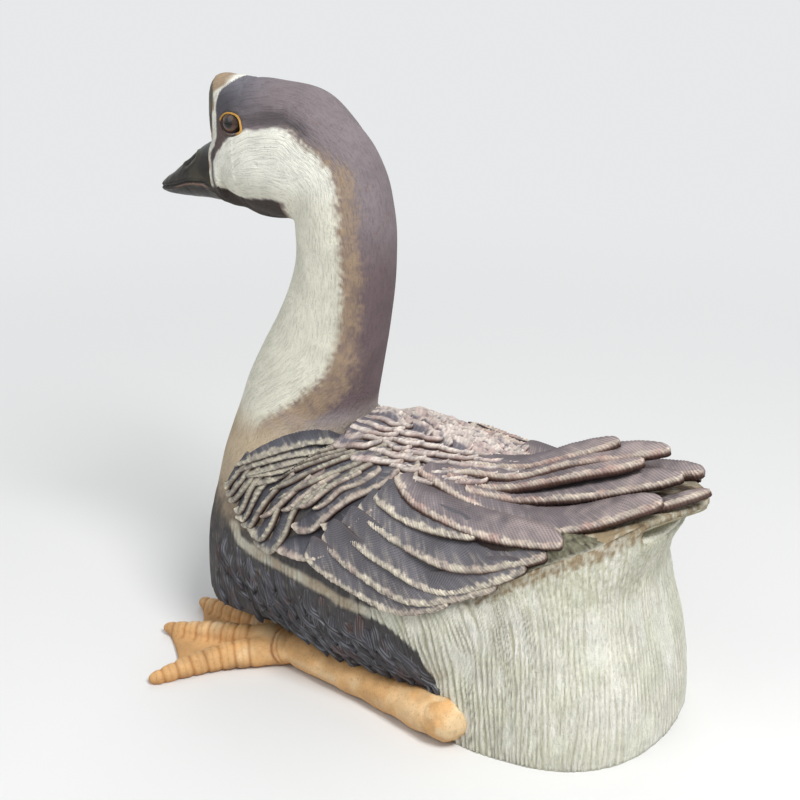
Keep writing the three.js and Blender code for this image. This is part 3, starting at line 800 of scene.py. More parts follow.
def coat_mesh(name, coat, side=LEFT):
    """The mesh of a coat's plates, or of their mirror image on the right."""
    verts, faces, paint, uv = [], [], [], []
    cells = int(np.ceil(np.sqrt(len(coat))))
    start = 0
    for number, (top, under, top_paint, under_paint) in enumerate(coat):
        rows, cols = top.shape[:2]
        quads = plate_faces(rows, cols) + start
        i, j = rows // 2, cols // 2
        outward = np.cross(top[i + 1, j] - top[i, j], top[i, j + 1] - top[i, j])
        faces.append(quads if outward @ (top[i, j] - under[i, j]) >= 0 else quads[:, ::-1])
        verts += [top.reshape(-1, 3), under.reshape(-1, 3)]
        paint += [np.broadcast_to(colour, top.shape).reshape(-1, 3) for colour in (top_paint, under_paint)]
        along = np.linspace(PATCH_EDGE, 1 - PATCH_EDGE, rows)
        u, v = np.meshgrid(along, np.linspace(PATCH_EDGE, PATCH_TOP, cols), indexing="ij")
        cell = number % cells, number // cells
        for level in (v, PATCH_UNDER + v * (1 - PATCH_UNDER)):
            uv.append((np.stack([u, level], -1).reshape(-1, 2) + cell) / cells)
        start += 2 * rows * cols
    verts, faces = np.concatenate(verts), np.concatenate(faces)
    if side == RIGHT:
        verts, faces = verts * (-1, 1, 1), faces[:, ::-1]
    return mesh_object(name, verts, faces.tolist(), np.concatenate(paint), np.concatenate(uv))


def evenly(on, out, number):
    """Points of a smooth line through on, evenly spaced, and the directions in out at them."""
    share = np.linspace(0, 1, number)
    run = run_of(on)
    some = np.linspace(0, len(on) - 1, max(5, len(on) // 3)).round().astype(int)
    turned = np.stack([np.interp(share, run / run[-1], column) for column in out.T], -1)
    return curve(on[some], share), unit(turned)


def crosswise(on, out):
    """Directions across a line that lies on a surface."""
    return unit(np.cross(np.gradient(on, axis=0), out))


def toward(directions, aim):
    """The directions, turned round if they point away from aim on the whole."""
    return directions * np.sign((directions @ aim).mean())


def end_width(share, power):
    """1 over the first half of a feather, then rounded off to 0 at its end."""
    return rounded(np.maximum(0, 2 * share - 1), power)


def half_width(share, width, style):
    """Half the width along a feather, from its root to its tip."""
    full = end_width(share, style["tip"]) * end_width(1 - share, style["base"])
    return np.maximum(width / 2 * full, THINNEST)


def feather(axis, across, out, half, hug, style, seed):
    """One feather: a plate about its axis with a beaded rim, barbs and paint.

    half is the half width along the axis. The rim is on the side that across points away from.
    hug gives the surface that the feather lies on."""
    s = (-1 + 2 * np.linspace(0, 1, style["cols"]) ** 1.35)[None, :]
    flat = axis[:, None] + across[:, None] * (half[:, None] * s)[..., None]
    base, normal = hug(flat) if hug else (flat, out[:, None])
    run = run_of(axis)[:, None]
    along, edge, share = run / run[-1], (1 + s) * half[:, None], (1 - s) / 2
    rim, pitch = style["rim"], style["pitch"]
    # barbs, each with a length and strength of its own
    bent = 0.5 * noise(run[..., None], 4 * pitch, seed)
    phase = (run + style["slant"] * edge + 0.9 * bump(edge, 0, rim)) / pitch + bent
    one, two, three = (lot(np.floor(phase), seed + i) for i in range(3))
    cut = wave(phase) ** 2.2 * rise(run[-1] - run, 0, 3)
    # relief
    wild, crumbs = noise(base, 7, seed), noise(base, 2.3, seed + 3)
    bead = bump(edge, rim * 0.5, rim * 0.58)
    settled = rise(along, 0, style["settled"])
    risen = style["root"] + (1 - style["root"]) * settled
    height = style["lift"] * risen * share**1.3 + style["crown"] * (1 - s**2) + 0.35 * wild
    height += style["rough"] * crumbs * bead - style["sunk"] * (1 - settled)
    height += style["bead"] * bead * (0.7 + 0.45 * one - style["barbed"] * cut) * (0.3 + 0.7 * risen)
    height -= style["depth"] * cut * (0.4 + 0.6 * two) * (1 - 0.5 * bead)
    height -= 2.4 * fall(edge, -0.1, 1.0)
    under = height - style["thick"] * (0.35 + 0.65 * share)
    surface = base, s, along, edge, cut, wild, crumbs, one, two, three
    ragged = style["barbed"] * (1.1 * cut - 0.9 * (one - 0.5)) * bump(edge, 0, 1.8)
    base = base + ragged[..., None] * across[:, None]
    top, bottom = (base + normal * level[..., None] for level in (height, under))
    # the underside is painted dark, as shade
    return top, bottom, feather_paint(surface, style, seed), mix(SHADE_DARK, RUST, 0.35)


def feather_paint(surface, style, seed):
    """A feather's top: a grey vane with barbs painted dark in their grooves as shade, a pale rim with a
    painted shadow line at its edge, painted shade towards its inner side, and worn in places.
    """
    base, s, along, edge, cut, wild, crumbs, one, two, three = surface
    rim, vane = style["rim"], style["vane"]
    # darker towards the inner side, as painted shade under the feather above, and darker or lighter at random
    deeper = 0.2 + 0.6 * noise(base, 14, seed + 5) + 0.5 * rise(s, -0.2, 0.7)
    colour = mix(vane * (0.84 + 0.32 * two)[..., None], vane * 0.6, deeper)
    colour = mix(colour, RIM * 0.8, rise(two + 0.5 * crumbs, 0.75, 1.2) * fall(s, -0.8, 0.4) * 0.45)
    colour = mix(colour, PINK_GREY, style["faded"] * rise(along + 0.25 * wild, 0.45, 1.0))
    rims = mix(*style["rims"], 0.15 + 0.9 * noise(base, 11, seed + 9) + 0.5 * (three - 0.5))
    rims = rims * (0.8 + 0.3 * one + 0.16 * crumbs)[..., None]
    pale = rise(rim * (0.85 + 0.6 * three + 0.25 * wild) - edge, -1.1, 0.9)
    pale = pale * (1 - 0.45 * fall(crumbs, -0.8, -0.2))
    streak = style["streak"] * rise(rim * (1.4 + 2.4 * two) - edge, -2, 3) * (three > 0.55)
    colour = mix(colour, rims, np.maximum(pale * (0.78 + 0.22 * one), streak))
    # the barbs' grooves painted dark, as shade
    colour = mix(colour, SHADE_DARK, cut * (0.8 - 0.35 * pale) * style["groove_shade"])
    # a painted shadow line along the rim's dropped edge
    colour = mix(colour, RUST * 0.6, fall(edge, -0.1, 0.7) * 0.9)
    # painted shade along the inner side, under the feather above
    dark = mix(vane * 0.5, RUST, 0.15 + 0.25 * noise(base, 18, seed + 6))
    return mix(colour, dark, rise(s, 0.6, 0.98) * 0.5)


# Styles of feather. cols is the number of points across, tip and base say how square the ends are. lift is
# how far the rim stands out, and root, settled and sunk say how the feather comes up from under the one
# before. Barbs have a pitch, a slant and a depth, the rim its width, its bead and how barbs cut into it.
# The spacings of points along the feathers follow, and how far a long feather's axis lies under its edge.
# The barbs' grooves are painted dark as shade, as strongly as each style gives.
ROPE = dict(
    cols=14, tip=2.2, base=8, lift=5.4, thick=2.6, root=0.6, settled=0.7, sunk=0.0, crown=0.4, rough=0.35,
    slant=-0.35, pitch=2.6, depth=0.4, rim=4.6, bead=2.3, barbed=0.22,
    streak=0.15, groove_shade=0.55, faded=0.0, vane=SLATE_BLUE,
)
OLIVE_ROPE = {**ROPE, "rims": (ink("bfb8a6"), ink("958c83"))}
PINK_ROPE = {**ROPE, "rims": (ink("cfc2b2"), ink("a08c86"))}
MANTLE = {
    **ROPE, "cols": 18, "tip": 3.0, "lift": 4.6, "root": 0.0, "rough": 0.12, "pitch": 3.0, "rim": 5.4,
    "bead": 2.2, "barbed": 0.1, "rims": (ink("dfd3c9"), ink("c3aba4")), "vane": ink("7b7780"),
}
BLADE = dict(
    cols=24, tip=2.7, base=9, lift=3.4, thick=4.2, root=0.5, settled=0.14, sunk=0.8, crown=0.9, rough=0.5,
    slant=0.9, pitch=2.4, depth=0.75, rim=4.8, bead=1.5, barbed=0.6,
    streak=0.16, groove_shade=0.8, faded=0.0,
)
SECONDARY = {**BLADE, "rims": (ink("ddd3c0"), ink("bfaea2")), "vane": ink("77757b")}
PRIMARY = {
    **BLADE, "pitch": 2.9, "faded": 0.8, "rims": (ink("dbcdbd"), ink("c4a398")), "vane": ink("8b8286"),
}
COVERT_STEP, LONG_STEP, BLADE_DROP = 0.85, 0.72, 1.2


def covert(rim, lean, width, style, seed):
    """A feather that lies on the skin. rim is its free edge from root to tip, and it spans up the lean."""
    on, out = laid(traced(rim, 40), lean)
    on, out = evenly(on, out, max(24, int(run_of(on)[-1] / COVERT_STEP)))
    across = toward(crosswise(on, out), up_lean(lean) - (0, 0.3, 0))
    half = half_width(np.linspace(0, 1, len(on)), width, style)
    return feather(on + across * (width / 2), across, out, half, nearest, style, seed)


def long_feather(edge, span, lean, style, seed):
    """A long feather of the wing, as in the solids: it spans inward from its outer edge."""
    share = np.linspace(0, 1, int(run_of(traced(edge, 60))[-1] / LONG_STEP))
    line = curve(edge, share)
    along = unit(np.gradient(line, axis=0))
    inward = up_lean(lean[0] + (lean[1] - lean[0]) * share)
    inward = unit(inward - along * (inward * along).sum(1)[:, None])
    out = np.cross(along, inward) * np.sign(lean[0])
    middle = span / 2 * (0.5 + 0.5 * end_width(share, style["tip"]))
    axis = line + inward * middle[:, None] - out * BLADE_DROP
    return feather(axis, inward, out, half_width(share, span, style), None, style, seed)


# The wing's long feathers, lowest first: outer edge from root to tip, span, and lean at root and tip.
SECONDARIES = [
    ([(108, -30, 128), (113, 12, 116), (113, 62, 105), (108, 108, 118)], 26, (6, 6)),
    ([(105, -16, 146), (111, 22, 130), (111, 75, 116), (101, 146, 139)], 28, (12, 12)),
    ([(101, -2, 158), (108, 46, 141), (106, 100, 129), (97, 168, 158)], 28, (20, 20)),
    ([(92, 10, 174), (100, 50, 160), (102, 110, 150), (92, 180, 170)], 28, (32, 46)),
    ([(86, 22, 184), (91, 62, 173), (89, 117, 170)], 26, (42, 38)),
]
PRIMARIES = [
    ([(70, 31, 201), (84, 62, 187), (87, 123, 176), (86, 188, 179)], 28, (74, 42)),
    ([(56, 46, 204), (62, 90, 191), (64, 165, 180), (48, 254, 215)], 30, (76, 50)),
    ([(56, 90, 196), (44, 130, 191), (35, 190, 205), (18, 258, 226)], 26, (74, 54)),
    ([(50, 70, 202), (41, 112, 196), (30, 176, 217), (18, 226, 232)], 26, (80, 57)),
    ([(42, 66, 203), (30, 122, 204), (20, 168, 222), (5, 241, 240)], 26, (86, 60)),
    ([(26, 70, 204), (18, 116, 206), (12, 158, 221), (5, 199, 238)], 26, (88, 62)),
]
# Where the wings' tips cross, the right one's are lower, and its inner ones shorter too. Between its two
# outer ones and the inner ones lies a feather that ends on the tail, with its rim on its inner side.
OUTER_CROSSED, CROSSING_SHORTER, CROSSING_LOWER, ROOT_LEAN = 2, 0.86, 12, 105
CROSSING = ([(30, 90, 198), (15, 140, 198), (3, 205, 211), (-4, 266, 227)], 26, (-75, -64))
# A small feather of the left wing, beside the tail.
RUMP_FEATHER = ([(42, 200, 190), (37, 230, 203), (30, 257, 214), (18, 281, 223)], 15, (76, 62))

# Rows of coverts, lowest first: first rim, last rim, how many, width. Rims are (y, up the wing's slope).
COVERT_LEAN = 45
COVERT_ROWS = [
    ([(53, 95), (30, 56), (8, 31), (-22, 15), (-60, 12)], None, 1, 26),
    ([(42, 118), (47, 90), (20, 55), (3, 36), (-18, 36)], None, 1, 22),
    ([(27, 122), (31, 92), (0, 62), (-25, 33), (-46, 30)], None, 1, 22),
    ([(-20, 75), (-42, 55), (-51, 32), (-64, 14), (-86, 17)],
     [(-62, 82), (-76, 60), (-84, 44), (-92, 30), (-106, 29)], 3, 18),
    ([(19, 99), (8, 84), (-6, 72), (-14, 60), (-22, 50)],
     [(-30, 84), (-44, 72), (-56, 58), (-66, 44), (-76, 38)], 4, 16),
    ([(-82, 76), (-91, 58), (-98, 42), (-104, 35), (-113, 36)],
     [(-104, 84), (-113, 72), (-121, 62), (-126, 57), (-132, 60)], 5, 12),
    ([(23, 116), (2, 94), (-15, 75), (-30, 60), (-46, 46)],
     [(11, 121), (-20, 99), (-45, 82), (-62, 70), (-80, 58)], 3, 16),
    ([(9, 123), (-24, 104), (-52, 88), (-76, 73), (-98, 60)],
     [(-12, 125), (-45, 114), (-70, 100), (-92, 86), (-116, 72)], 5, 13),
]
PINK_ROWS = 0, 1, 2, 4


def crossed_feathers():
    """The right wing's primaries, as if seen on the left."""
    for number, (edge, span, lean) in enumerate(PRIMARIES):
        edge = np.array(edge, float)
        if number < OUTER_CROSSED:
            edge[-1, 2] -= CROSSING_LOWER
            yield edge, span, (ROOT_LEAN, lean[1])
        elif number == OUTER_CROSSED:
            yield CROSSING
        else:
            yield edge[0] + (edge - edge[0]) * CROSSING_SHORTER - (0, 0, CROSSING_LOWER), span, lean


def covert_coat():
    coat, seed = [], count(FIRST_SEED["coverts"])
    for row, (first, last, number, width) in enumerate(COVERT_ROWS):
        style = PINK_ROPE if row in PINK_ROWS else OLIVE_ROPE
        for share in np.linspace(0, 1, number):
            rim = np.array(first, float) * (1 - share) + np.array(last or first, float) * share
            rim += rng.normal(0, 1.1 if last else 0.3, rim.shape)
            coat.append(covert(rim, COVERT_LEAN, width, style, next(seed)))
    return coat


def long_coat(feathers, style, first_seed):
    """A coat of long feathers, each with a seed of its own."""
    return [long_feather(*shape, style, seed) for seed, shape in enumerate(feathers, first_seed)]


secondaries = long_coat(SECONDARIES, SECONDARY, FIRST_SEED["secondaries"])
primaries = long_coat(PRIMARIES, PRIMARY, FIRST_SEED["primaries"])
primaries += long_coat([RUMP_FEATHER], PRIMARY, FIRST_SEED["rump"])
crossed = long_coat(crossed_feathers(), PRIMARY, FIRST_SEED["primaries"])
coverts = covert_coat()


class Ground:
    """A smooth surface seen from above, over the back and the roots of the wings' feathers."""

    LEAST, MOST, STEP, PASSES, PROUD = (-84, -30), (84, 176), 2.0, 14, 0.4

    def __init__(self, coats):
        ends = zip(self.LEAST, self.MOST)
        self.x, self.y = (np.arange(low, high + self.STEP, self.STEP) for low, high in ends)
        trees = skin_tree, self.tree_of(coats)
        high = np.zeros((len(self.x), len(self.y)))
        down = Vector((0, 0, -1))
        for i, x in enumerate(self.x):
            for j, y in enumerate(self.y):
                hits = [tree.ray_cast(Vector((x, y, FAR)), down)[0] for tree in trees]
                high[i, j] = max(hit[2] for hit in hits if hit)
        ceiling = np.minimum(np.interp(self.y, *CEILING), MANTLE_FRONT)
        high = np.minimum(high, ceiling[None, :] + 1 - CAMBER * self.x[:, None] ** 2)
        for _ in range(self.PASSES):
            edged = np.pad(high, 1, mode="edge")
            high = (4 * high + edged[:-2, 1:-1] + edged[2:, 1:-1] + edged[1:-1, :-2] + edged[1:-1, 2:]) / 8
        self.high = high + self.PROUD
        self.slope = np.gradient(self.high, self.STEP)

    @staticmethod
    def tree_of(coats):
        """The tops of the plates of coats, each with its side, with only every few points."""
        verts, faces, start = [], [], 0
        for coat, side in coats:
            for top, *_ in coat:
                grid = np.arange(top.shape[0] * top.shape[1]).reshape(top.shape[:2])
                faces.append(grid_faces(grid[::4, ::3] + start))
                verts.append(top.reshape(-1, 3) * (side, 1, 1))
                start += grid.size
        return BVHTree.FromPolygons(np.concatenate(verts).tolist(), np.concatenate(faces).tolist())

    def read(self, values, x, y):
        """The values of the surface's grid at places between its points."""
        u = np.clip((x - self.LEAST[0]) / self.STEP, 0, len(self.x) - 1.001)
        v = np.clip((y - self.LEAST[1]) / self.STEP, 0, len(self.y) - 1.001)
        i, j = u.astype(int), v.astype(int)
        u, v = u - i, v - j
        near = values[i, j] * (1 - u) + values[i + 1, j] * u
        far = values[i, j + 1] * (1 - u) + values[i + 1, j + 1] * u
        return near * (1 - v) + far * v

    def under(self, points):
        """The points of the surface straight over or under others, and its normals there."""
        x, y = points[..., 0], points[..., 1]
        on = np.stack([x, y, self.read(self.high, x, y)], -1)
        out = np.stack([-self.read(self.slope[0], x, y), -self.read(self.slope[1], x, y), 1 + 0 * x], -1)
        return on, unit(out)


back_ground = Ground([
    (secondaries, LEFT), (secondaries, RIGHT), (primaries, LEFT), (crossed, RIGHT),
    (coverts, LEFT), (coverts, RIGHT),
])

# Half the width of the mantle's plumage along the back, and where its rows end, the rearmost first.
MANTLE_SPREAD = [(-8, 40), (20, 50), (50, 56), (80, 52), (110, 42), (140, 24)]
MANTLE_TIPS = np.arange(126, 6, -19.0)
MANTLE_LANE, MANTLE_WIDTH, MANTLE_POINTS = 10.5, 16, 42


def mantle_feather(rim, side, seed):
    """A feather on the back, whose rim is given as (x, y) from root to tip."""
    line = traced(rim, 24)
    on, out = back_ground.under(np.column_stack([line, 0 * line[:, 0]]))
    on, out = evenly(on, out, MANTLE_POINTS)
    across = toward(crosswise(on, out), (-side, 0, 0))
    half = half_width(np.linspace(0, 1, len(on)), MANTLE_WIDTH, MANTLE)
    return feather(on + across * (MANTLE_WIDTH / 2), across, out, half, back_ground.under, MANTLE, seed)


def mantle_coat():
    """Rows of ropy feathers on both sides of the back's middle, each row over the one behind."""
    coat, seed = [], count(FIRST_SEED["mantle"])
    for row, tip_y in enumerate(MANTLE_TIPS):
        (spread,) = between(MANTLE_SPREAD, tip_y)
        lanes = int(round(spread / MANTLE_LANE))
        for side in (LEFT, RIGHT):
            for lane in range(lanes):
                x = side * spread * (lane + 0.35 + 0.5 * (row % 2)) / lanes
                wild = rng.normal(0, 1, 4)
                y = tip_y + 3 * wild[0]
                rim = [
                    (x + side * 6, y - 46), (x + side * 6 + wild[1], y - 30),
                    (x + side * 4.5 + wild[2], y - 12), (x - side * 1.5 + wild[3], y),
                ]
                coat.append(mantle_feather(rim, side, next(seed)))
    return coat


mantle = mantle_coat()

# The flank's locks: rows from the hem up, how many in each, where they start along y and how far back they
# may end, and their width and length back at the front and rear.
FLANK_ROWS, FLANK_COUNT, FLANK_Y, FLANK_END = 4, 13, (-140, 72), 96
FLANK_WIDTHS, FLANK_SWEEP = (12, 20), (10, 30)
# A lock's spacing of points along it, its points for a millimetre across, its combed lines and thickness.
TUFT_STEP, TUFT_COLS, TUFT_LINE, TUFT_THICK = 1.85, 1.35, 2.3, 2.6


def tuft(line, width, lift, seed):
    """A lock of small feathers on the skin: a bent lens shape with combed lines along it."""
    on, out = laid(traced(line, 20), 0)
    on, out = evenly(on, out, max(18, int(run_of(on)[-1] / TUFT_STEP)))
    share = np.linspace(0, 1, len(on))
    across = crosswise(on, out)
    s = np.linspace(-1, 1, int(width * TUFT_COLS))[None, :]
    sway = width * 0.16 * np.sin(2 * np.pi * (share * 0.9 + lot(seed, 3)))[:, None]
    half = np.maximum(width / 2 * np.minimum(1, share * 3.2) ** 0.6 * (1 - share**2.6), THINNEST)[:, None]
    base, normal = nearest(on[:, None] + across[:, None] * (half * s + sway)[..., None])
    lines = half * s / TUFT_LINE + 0.45 * noise(base, 15, seed) + 0.25 * np.sign(s) * share[:, None]
    comb, strand = wave(lines), lot(np.floor(lines + 0.5), seed)
    height = lift * share[:, None] ** 0.8 * (1 - 0.8 * s**2) + 2.0 * (1 - s**2) - 0.8
    height = height + comb**0.8 * (0.7 + 0.8 * strand) * (1 - 0.4 * s**2) + 0.4 * noise(base, 5, seed)
    # painted highlights along the combed crests
    lit = comb**2 * rise(noise(base, 6, seed + 1) + 0.6 * strand, 0.1, 0.9) * (1 - 0.5 * s**2)
    colour = mix(SLATE, SLATE_BLUE, 0.35 + 0.6 * noise(base, 18, seed))
    colour = mix(colour, SLATE_HIGHLIGHT, lit * 0.45)
    colour = mix(colour, RUST, rise(noise(base, 12, seed + 2), 0.2, 0.8) * 0.4)
    # painted shade between the combed lines and along the lock's edges
    colour = mix(colour, SHADE_DARK, np.maximum((1 - comb) ** 2 * 0.7, rise(np.abs(s), 0.75, 1) * 0.8))
    top, under = (base + normal * level[..., None] for level in (height, height - TUFT_THICK))
    # the underside is painted dark, as shade
    return top, under, colour, SHADE_DARK


def flank_coat():
    """The locks on the flank, in rows between the hem and the pale line under the wing."""
    coat, seed = [], count(FIRST_SEED["flank"])
    line = np.array(PALE_LINE, float).T

    def place(y, up):
        hem = np.interp(y, *HEM)
        return np.array([y, hem + (np.interp(y, *line) - 2 - hem) * up])

    def part_way(ends, share):
        return ends[0] + (ends[1] - ends[0]) * share

    for row in range(FLANK_ROWS):
        for share in (np.arange(FLANK_COUNT) + 0.25 + 0.5 * (row % 2)) / FLANK_COUNT:
            y = part_way(FLANK_Y, share)
            root = place(y, 0.42 + 0.17 * row) + rng.normal(0, 1, 2)
            tip_y = min(y + part_way(FLANK_SWEEP, share), FLANK_END)
            tip = place(tip_y, 0.2 * row - 0.06) + rng.normal(0, 2, 2)
            bow = (root + tip) / 2 + (-5, -2)
            width = part_way(FLANK_WIDTHS, share) + rng.normal(0, 1.2)
            coat.append(tuft(np.array([root, bow, tip]), width, 2.6 + 2.2 * share, next(seed)))
    return coat


flank = flank_coat()

# ---- the combed coats round the body's ends, and the tail ----

# How far out a coat is cast onto the skin from, its points' spacing round and up, and its thickness.
WRAP_FROM, WRAP_STEP, WRAP_ROW, WRAP_THICK = 90, 1.15, 2.2, 3.0
# How far below its edge a flared coat leaves the skin, and how near the edge the skin is still read.
FLARE_HEIGHT, FLARE_EDGE = 34, 12
LOWEST = 1.5  # a coat that reaches down this far goes on to the floor
MISSED = 40  # a ray that starts further than this from the skin's own point met nothing
RUMP_RADIUS, RUMP_REACH = 112, 290
BREAST_Y, BREAST_RADIUS, BREAST_REACH, BREAST_TOP = -100, 90, 265, 152
TAIL_FRONT, TAIL_END = 128, 272
TAIL_ROUND_FROM, TAIL_ROUND_OVER, TAIL_BLUNT = 225, 47.01, 2.2
TAIL_EDGE = [  # y, half width, the rim's height, the ridge's height
    (128, 96, 136, 190), (152, 95, 151, 192), (176, 89, 165, 195), (212, 66, 182, 201), (243, 46, 198, 208),
    (272, 22, 206, 213),
]
# The rump's combed lines run down, and sweep back where they leave the wing.
COMB, FINE_COMB, SWEEP, SWEEP_TOP = 5.4, 2.6, 60, 150
BREAST_COMB = 4.8


def wrap(centre, radius, front, reach, top, relief, colour, rim=None, low=lambda y: 0 * y):
    """A thin coat round one end of the body. q runs round it, in mm from the plane of symmetry.

    top and low give its upper and lower edge. rim gives the line that its top flares out to."""
    q = np.linspace(-reach, reach, int(2 * reach / WRAP_STEP))
    turn = np.clip(q / radius, -np.pi / 2, np.pi / 2)
    run = np.maximum(0, np.abs(q) - radius * np.pi / 2)
    facing = np.stack([np.sin(turn), front * np.cos(turn), 0 * q], -1)
    start = facing * (radius + WRAP_FROM)
    start[:, 1] += centre - front * run
    facing = facing[:, None]
    y = start[:, 1].copy()
    high = top(q, y)[:, None]
    foot = np.maximum(low(y), LOWEST)[:, None]
    z = foot + (high - foot) * np.linspace(0, 1, int(high.max() / WRAP_ROW))[None, :]
    start = start[:, None] + z[..., None] * (0, 0, 1)
    on, out = cast(start, -facing)
    if rim is not None:
        body = on
        lower = start.copy()
        lower[..., 2] = np.minimum(z, high - FLARE_EDGE)
        on, _ = cast(lower, -facing)
        flare = np.clip(1 - (high - z) / FLARE_HEIGHT, 0, 1)[..., None] ** 1.8
        on = on * (1 - flare) + rim(turn, y)[:, None] * flare
        on[..., 2] = z
        short = ((body - on) * facing).sum(-1)
        on += facing * np.where(short < MISSED, np.maximum(short, 0), 0)[..., None]
        for _ in range(4):
            on[1:-1, 1:-1] = (on[:-2, 1:-1] + on[2:, 1:-1] + on[1:-1, :-2] + on[1:-1, 2:]) / 4
        out = unit(np.cross(np.gradient(on, axis=1), np.gradient(on, axis=0)))
        out *= np.sign((out * facing).sum(-1))[..., None]
    on[:, 0, 2] = np.where(foot[:, 0] > LOWEST, on[:, 0, 2], 0)
    q = np.broadcast_to(q[:, None], z.shape)
    height, groove = relief(q, z, on)
    over, under = on + out * height[..., None], on - out * WRAP_THICK
    over[..., 2], under[..., 2] = np.maximum(over[..., 2], 0), np.maximum(under[..., 2], 0)
    paint = colour(on.reshape(-1, 3), groove.ravel()).reshape(on.shape)
    return [(over, under, paint, paint)]


def tail_half(y):
    """Half the tail's width, rounded off at its end."""
    past = np.maximum(0, (y - TAIL_ROUND_FROM) / TAIL_ROUND_OVER)
    return between(TAIL_EDGE, y)[0] * rounded(past, TAIL_BLUNT)


def tail_rim(turn, y):
    """The line under the tail's rim that the rump flares out to."""
    along = np.linspace(TAIL_END, TAIL_FRONT, 80)
    x, edge = tail_half(along), between(TAIL_EDGE, along)[1]
    round_it, at = np.arctan2(x, along - RUMP_AXIS), np.abs(turn)
    far = np.interp(at, round_it, np.hypot(x, along - RUMP_AXIS)) + 0.8
    back = np.stack([far * np.sin(turn), RUMP_AXIS + far * np.cos(turn), np.interp(at, round_it, edge)], -1)
    side_x = np.sign(turn) * (tail_half(np.maximum(y, TAIL_FRONT)) + 1)
    side = np.stack([side_x, y, np.interp(y, *RUMP_TOP)], -1)
    return np.where((at < np.pi / 2 - 1e-6)[:, None], back, side)


def rump_top(q, y):
    """The height of the rump's upper edge, just inside the tail and the wing."""
    return tail_rim(np.clip(q / RUMP_RADIUS, -np.pi / 2, np.pi / 2), y)[:, 2] + 1.5


def rump_relief(q, z, on):
    """How far the rump's combed clay stands out, and how deep in a groove each point is."""
    slope = rise(np.abs(q), 90, 210)
    u = np.abs(q) + slope * SWEEP * (1 - np.exp(-np.maximum(0, SWEEP_TOP - z) / SWEEP))
    broken = np.stack([u, z / 3.5], -1)
    u = u + 3.4 * noise(broken, 16, 11) + 1.3 * noise(broken, 6, 12)
    crest, fine = wave(u / COMB) ** 0.5, wave((u + 1.1 * noise(broken, 4, 18)) / FINE_COMB)
    kept = rise(noise(np.stack([u, z / 2.2], -1), 11, 13), -0.9, 0.1)
    strong = (0.8 + 1.2 * slope) * (1 - 0.75 * rise(on[..., 2], 112, 146)) * kept
    rough = noise(on, 3.0, 14) * 0.7 * rise(z, 92, 140) + 0.3 * noise(on, 9, 15)
    groove = (1 - crest) * kept * (0.5 + 0.5 * slope) + 0.25 * (1 - fine)
    return 1.2 + strong * crest + 0.3 * fine * kept + rough, groove


def rump_paint(on, groove):
    """Cream and white, with greenish painted shade in the grooves, and mossy under the tail."""
    y, z = on[:, 1], on[:, 2]
    stipple = noise(on, 2.4, 6)
    colour = mix(RUMP_CREAM, RUMP_WHITE, 0.5 + 0.8 * noise(on, 20, 19))
    # painted shade in the grooves
    colour = mix(colour, RUMP_GROOVE_SHADE, np.clip(groove * 1.15, 0, 0.85))
    high = rise(z + 9 * noise(on, 14, 16), 100, 165)
    colour = mix(colour, MOSS, high * (0.2 + 0.45 * rise(stipple, -0.2, 0.6)))
    rim = rise(z - np.interp(y, *RUMP_TOP) + 3 * stipple, -13, -5)
    colour = mix(colour, RUMP_EDGE, rim * rise(y, 100, 130) * (0.5 + 0.5 * rise(stipple, -0.3, 0.5)))
    return mix(colour, SLATE, rise(-from_edge(CREAM_SIDE, y, z) + 0.8 * stipple, -0.5, 2.5))


def breast_relief(q, z, on):
    """Faint combed lines down the breast."""
    p = np.stack([q, z / 4], -1)
    lines = q + 2.0 * noise(p, 14, 21) + 0.12 * np.abs(q) * rise(q, -1, 1)
    comb = wave(lines / BREAST_COMB)
    strong = fall(z, 112, 148) * rise(noise(p, 10, 22), -0.9, 0.3)
    return 1.4 * fall(z, 128, 150) - 0.8 + 0.9 * comb * strong, (1 - comb) * strong


def breast_paint(on, groove):
    """The body's markings, greyer where the lines stand out, and painted dark in their grooves as shade."""
    worn = (1 - groove) ** 4 * rise(noise(on, 6, 23), 0.0, 0.8)
    lit = worn * rise(on[:, 2], 30, 90) * fall(on[:, 2], 100, 125)
    return mix(mix(markings(on), BREAST_GREY, lit * 0.45), SHADE_DARK, groove**2 * 0.4)


def tail_coat():
    """The tail: a low roof of stiff feathers over the rump, rough along its rim."""
    y = np.linspace(TAIL_FRONT, TAIL_END, 110)[:, None]
    across = np.linspace(-1, 1, 120)[None, :]
    _, edge, ridge = between(TAIL_EDGE, y)
    roof = edge + (ridge - edge) * (1 - across**2)
    on = np.stack(np.broadcast_arrays(tail_half(y) * across, y, roof), -1)
    out = np.abs(across)
    rim = rise(out, 0.8, 1)
    lines = wave(across * 9 + 0.3 * noise(on, 20, 31))
    height = 0.9 * lines * (1 - rim) + noise(on, 3.2, 32) * (0.4 + 0.6 * rim)
    height = height - 0.5 * rise(out, 0.93, 1)
    top = on + (0, 0, 1) * height[..., None]
    under = on - (0, 0, 1) * (6.0 - 3.5 * rim)[..., None]
    colour = mix(TAIL_BUFF, CREAM, rise(noise(on, 2.6, 33) + noise(on, 9, 34), -0.1, 0.9) * 0.75)
    colour = mix(colour, TAIL_MIDDLE, fall(out, 0.6, 0.9) * 0.6)
    return [(top, under, colour, mix(MOSS, TAIL_UNDER, 0.4))]


# ---- legs and feet ----

# Points along the leg and the toes; each toe also has its thickness.
SHANK_PATH, SHANK_SIZES = [(112, 124, 20), (90, 28, 15), (68, -75, 16)], [(0, 20), (0.5, 14), (1, 16)]
TOES = [
    ([(76, -78, 13), (112, -120, 10), (163, -155, 4)], 13),
    ([(67, -86, 14), (77, -142, 11), (86, -198, 5)], 12),
    ([(56, -84, 15), (42, -140, 11), (30, -199, 5)], 12),
]
KNUCKLES = 9
ANKLE, ANKLE_X = (-86, 13, 26, 19, 15.5, 2.3), 71
# How far along its two toes each web reaches, the outer web first.
WEB_REACH = [(0.78, 0.96), (0.70, 0.97)]
WEB_DIP, WEB_ROWS, WEB_COLS = 0.05, 30, 17


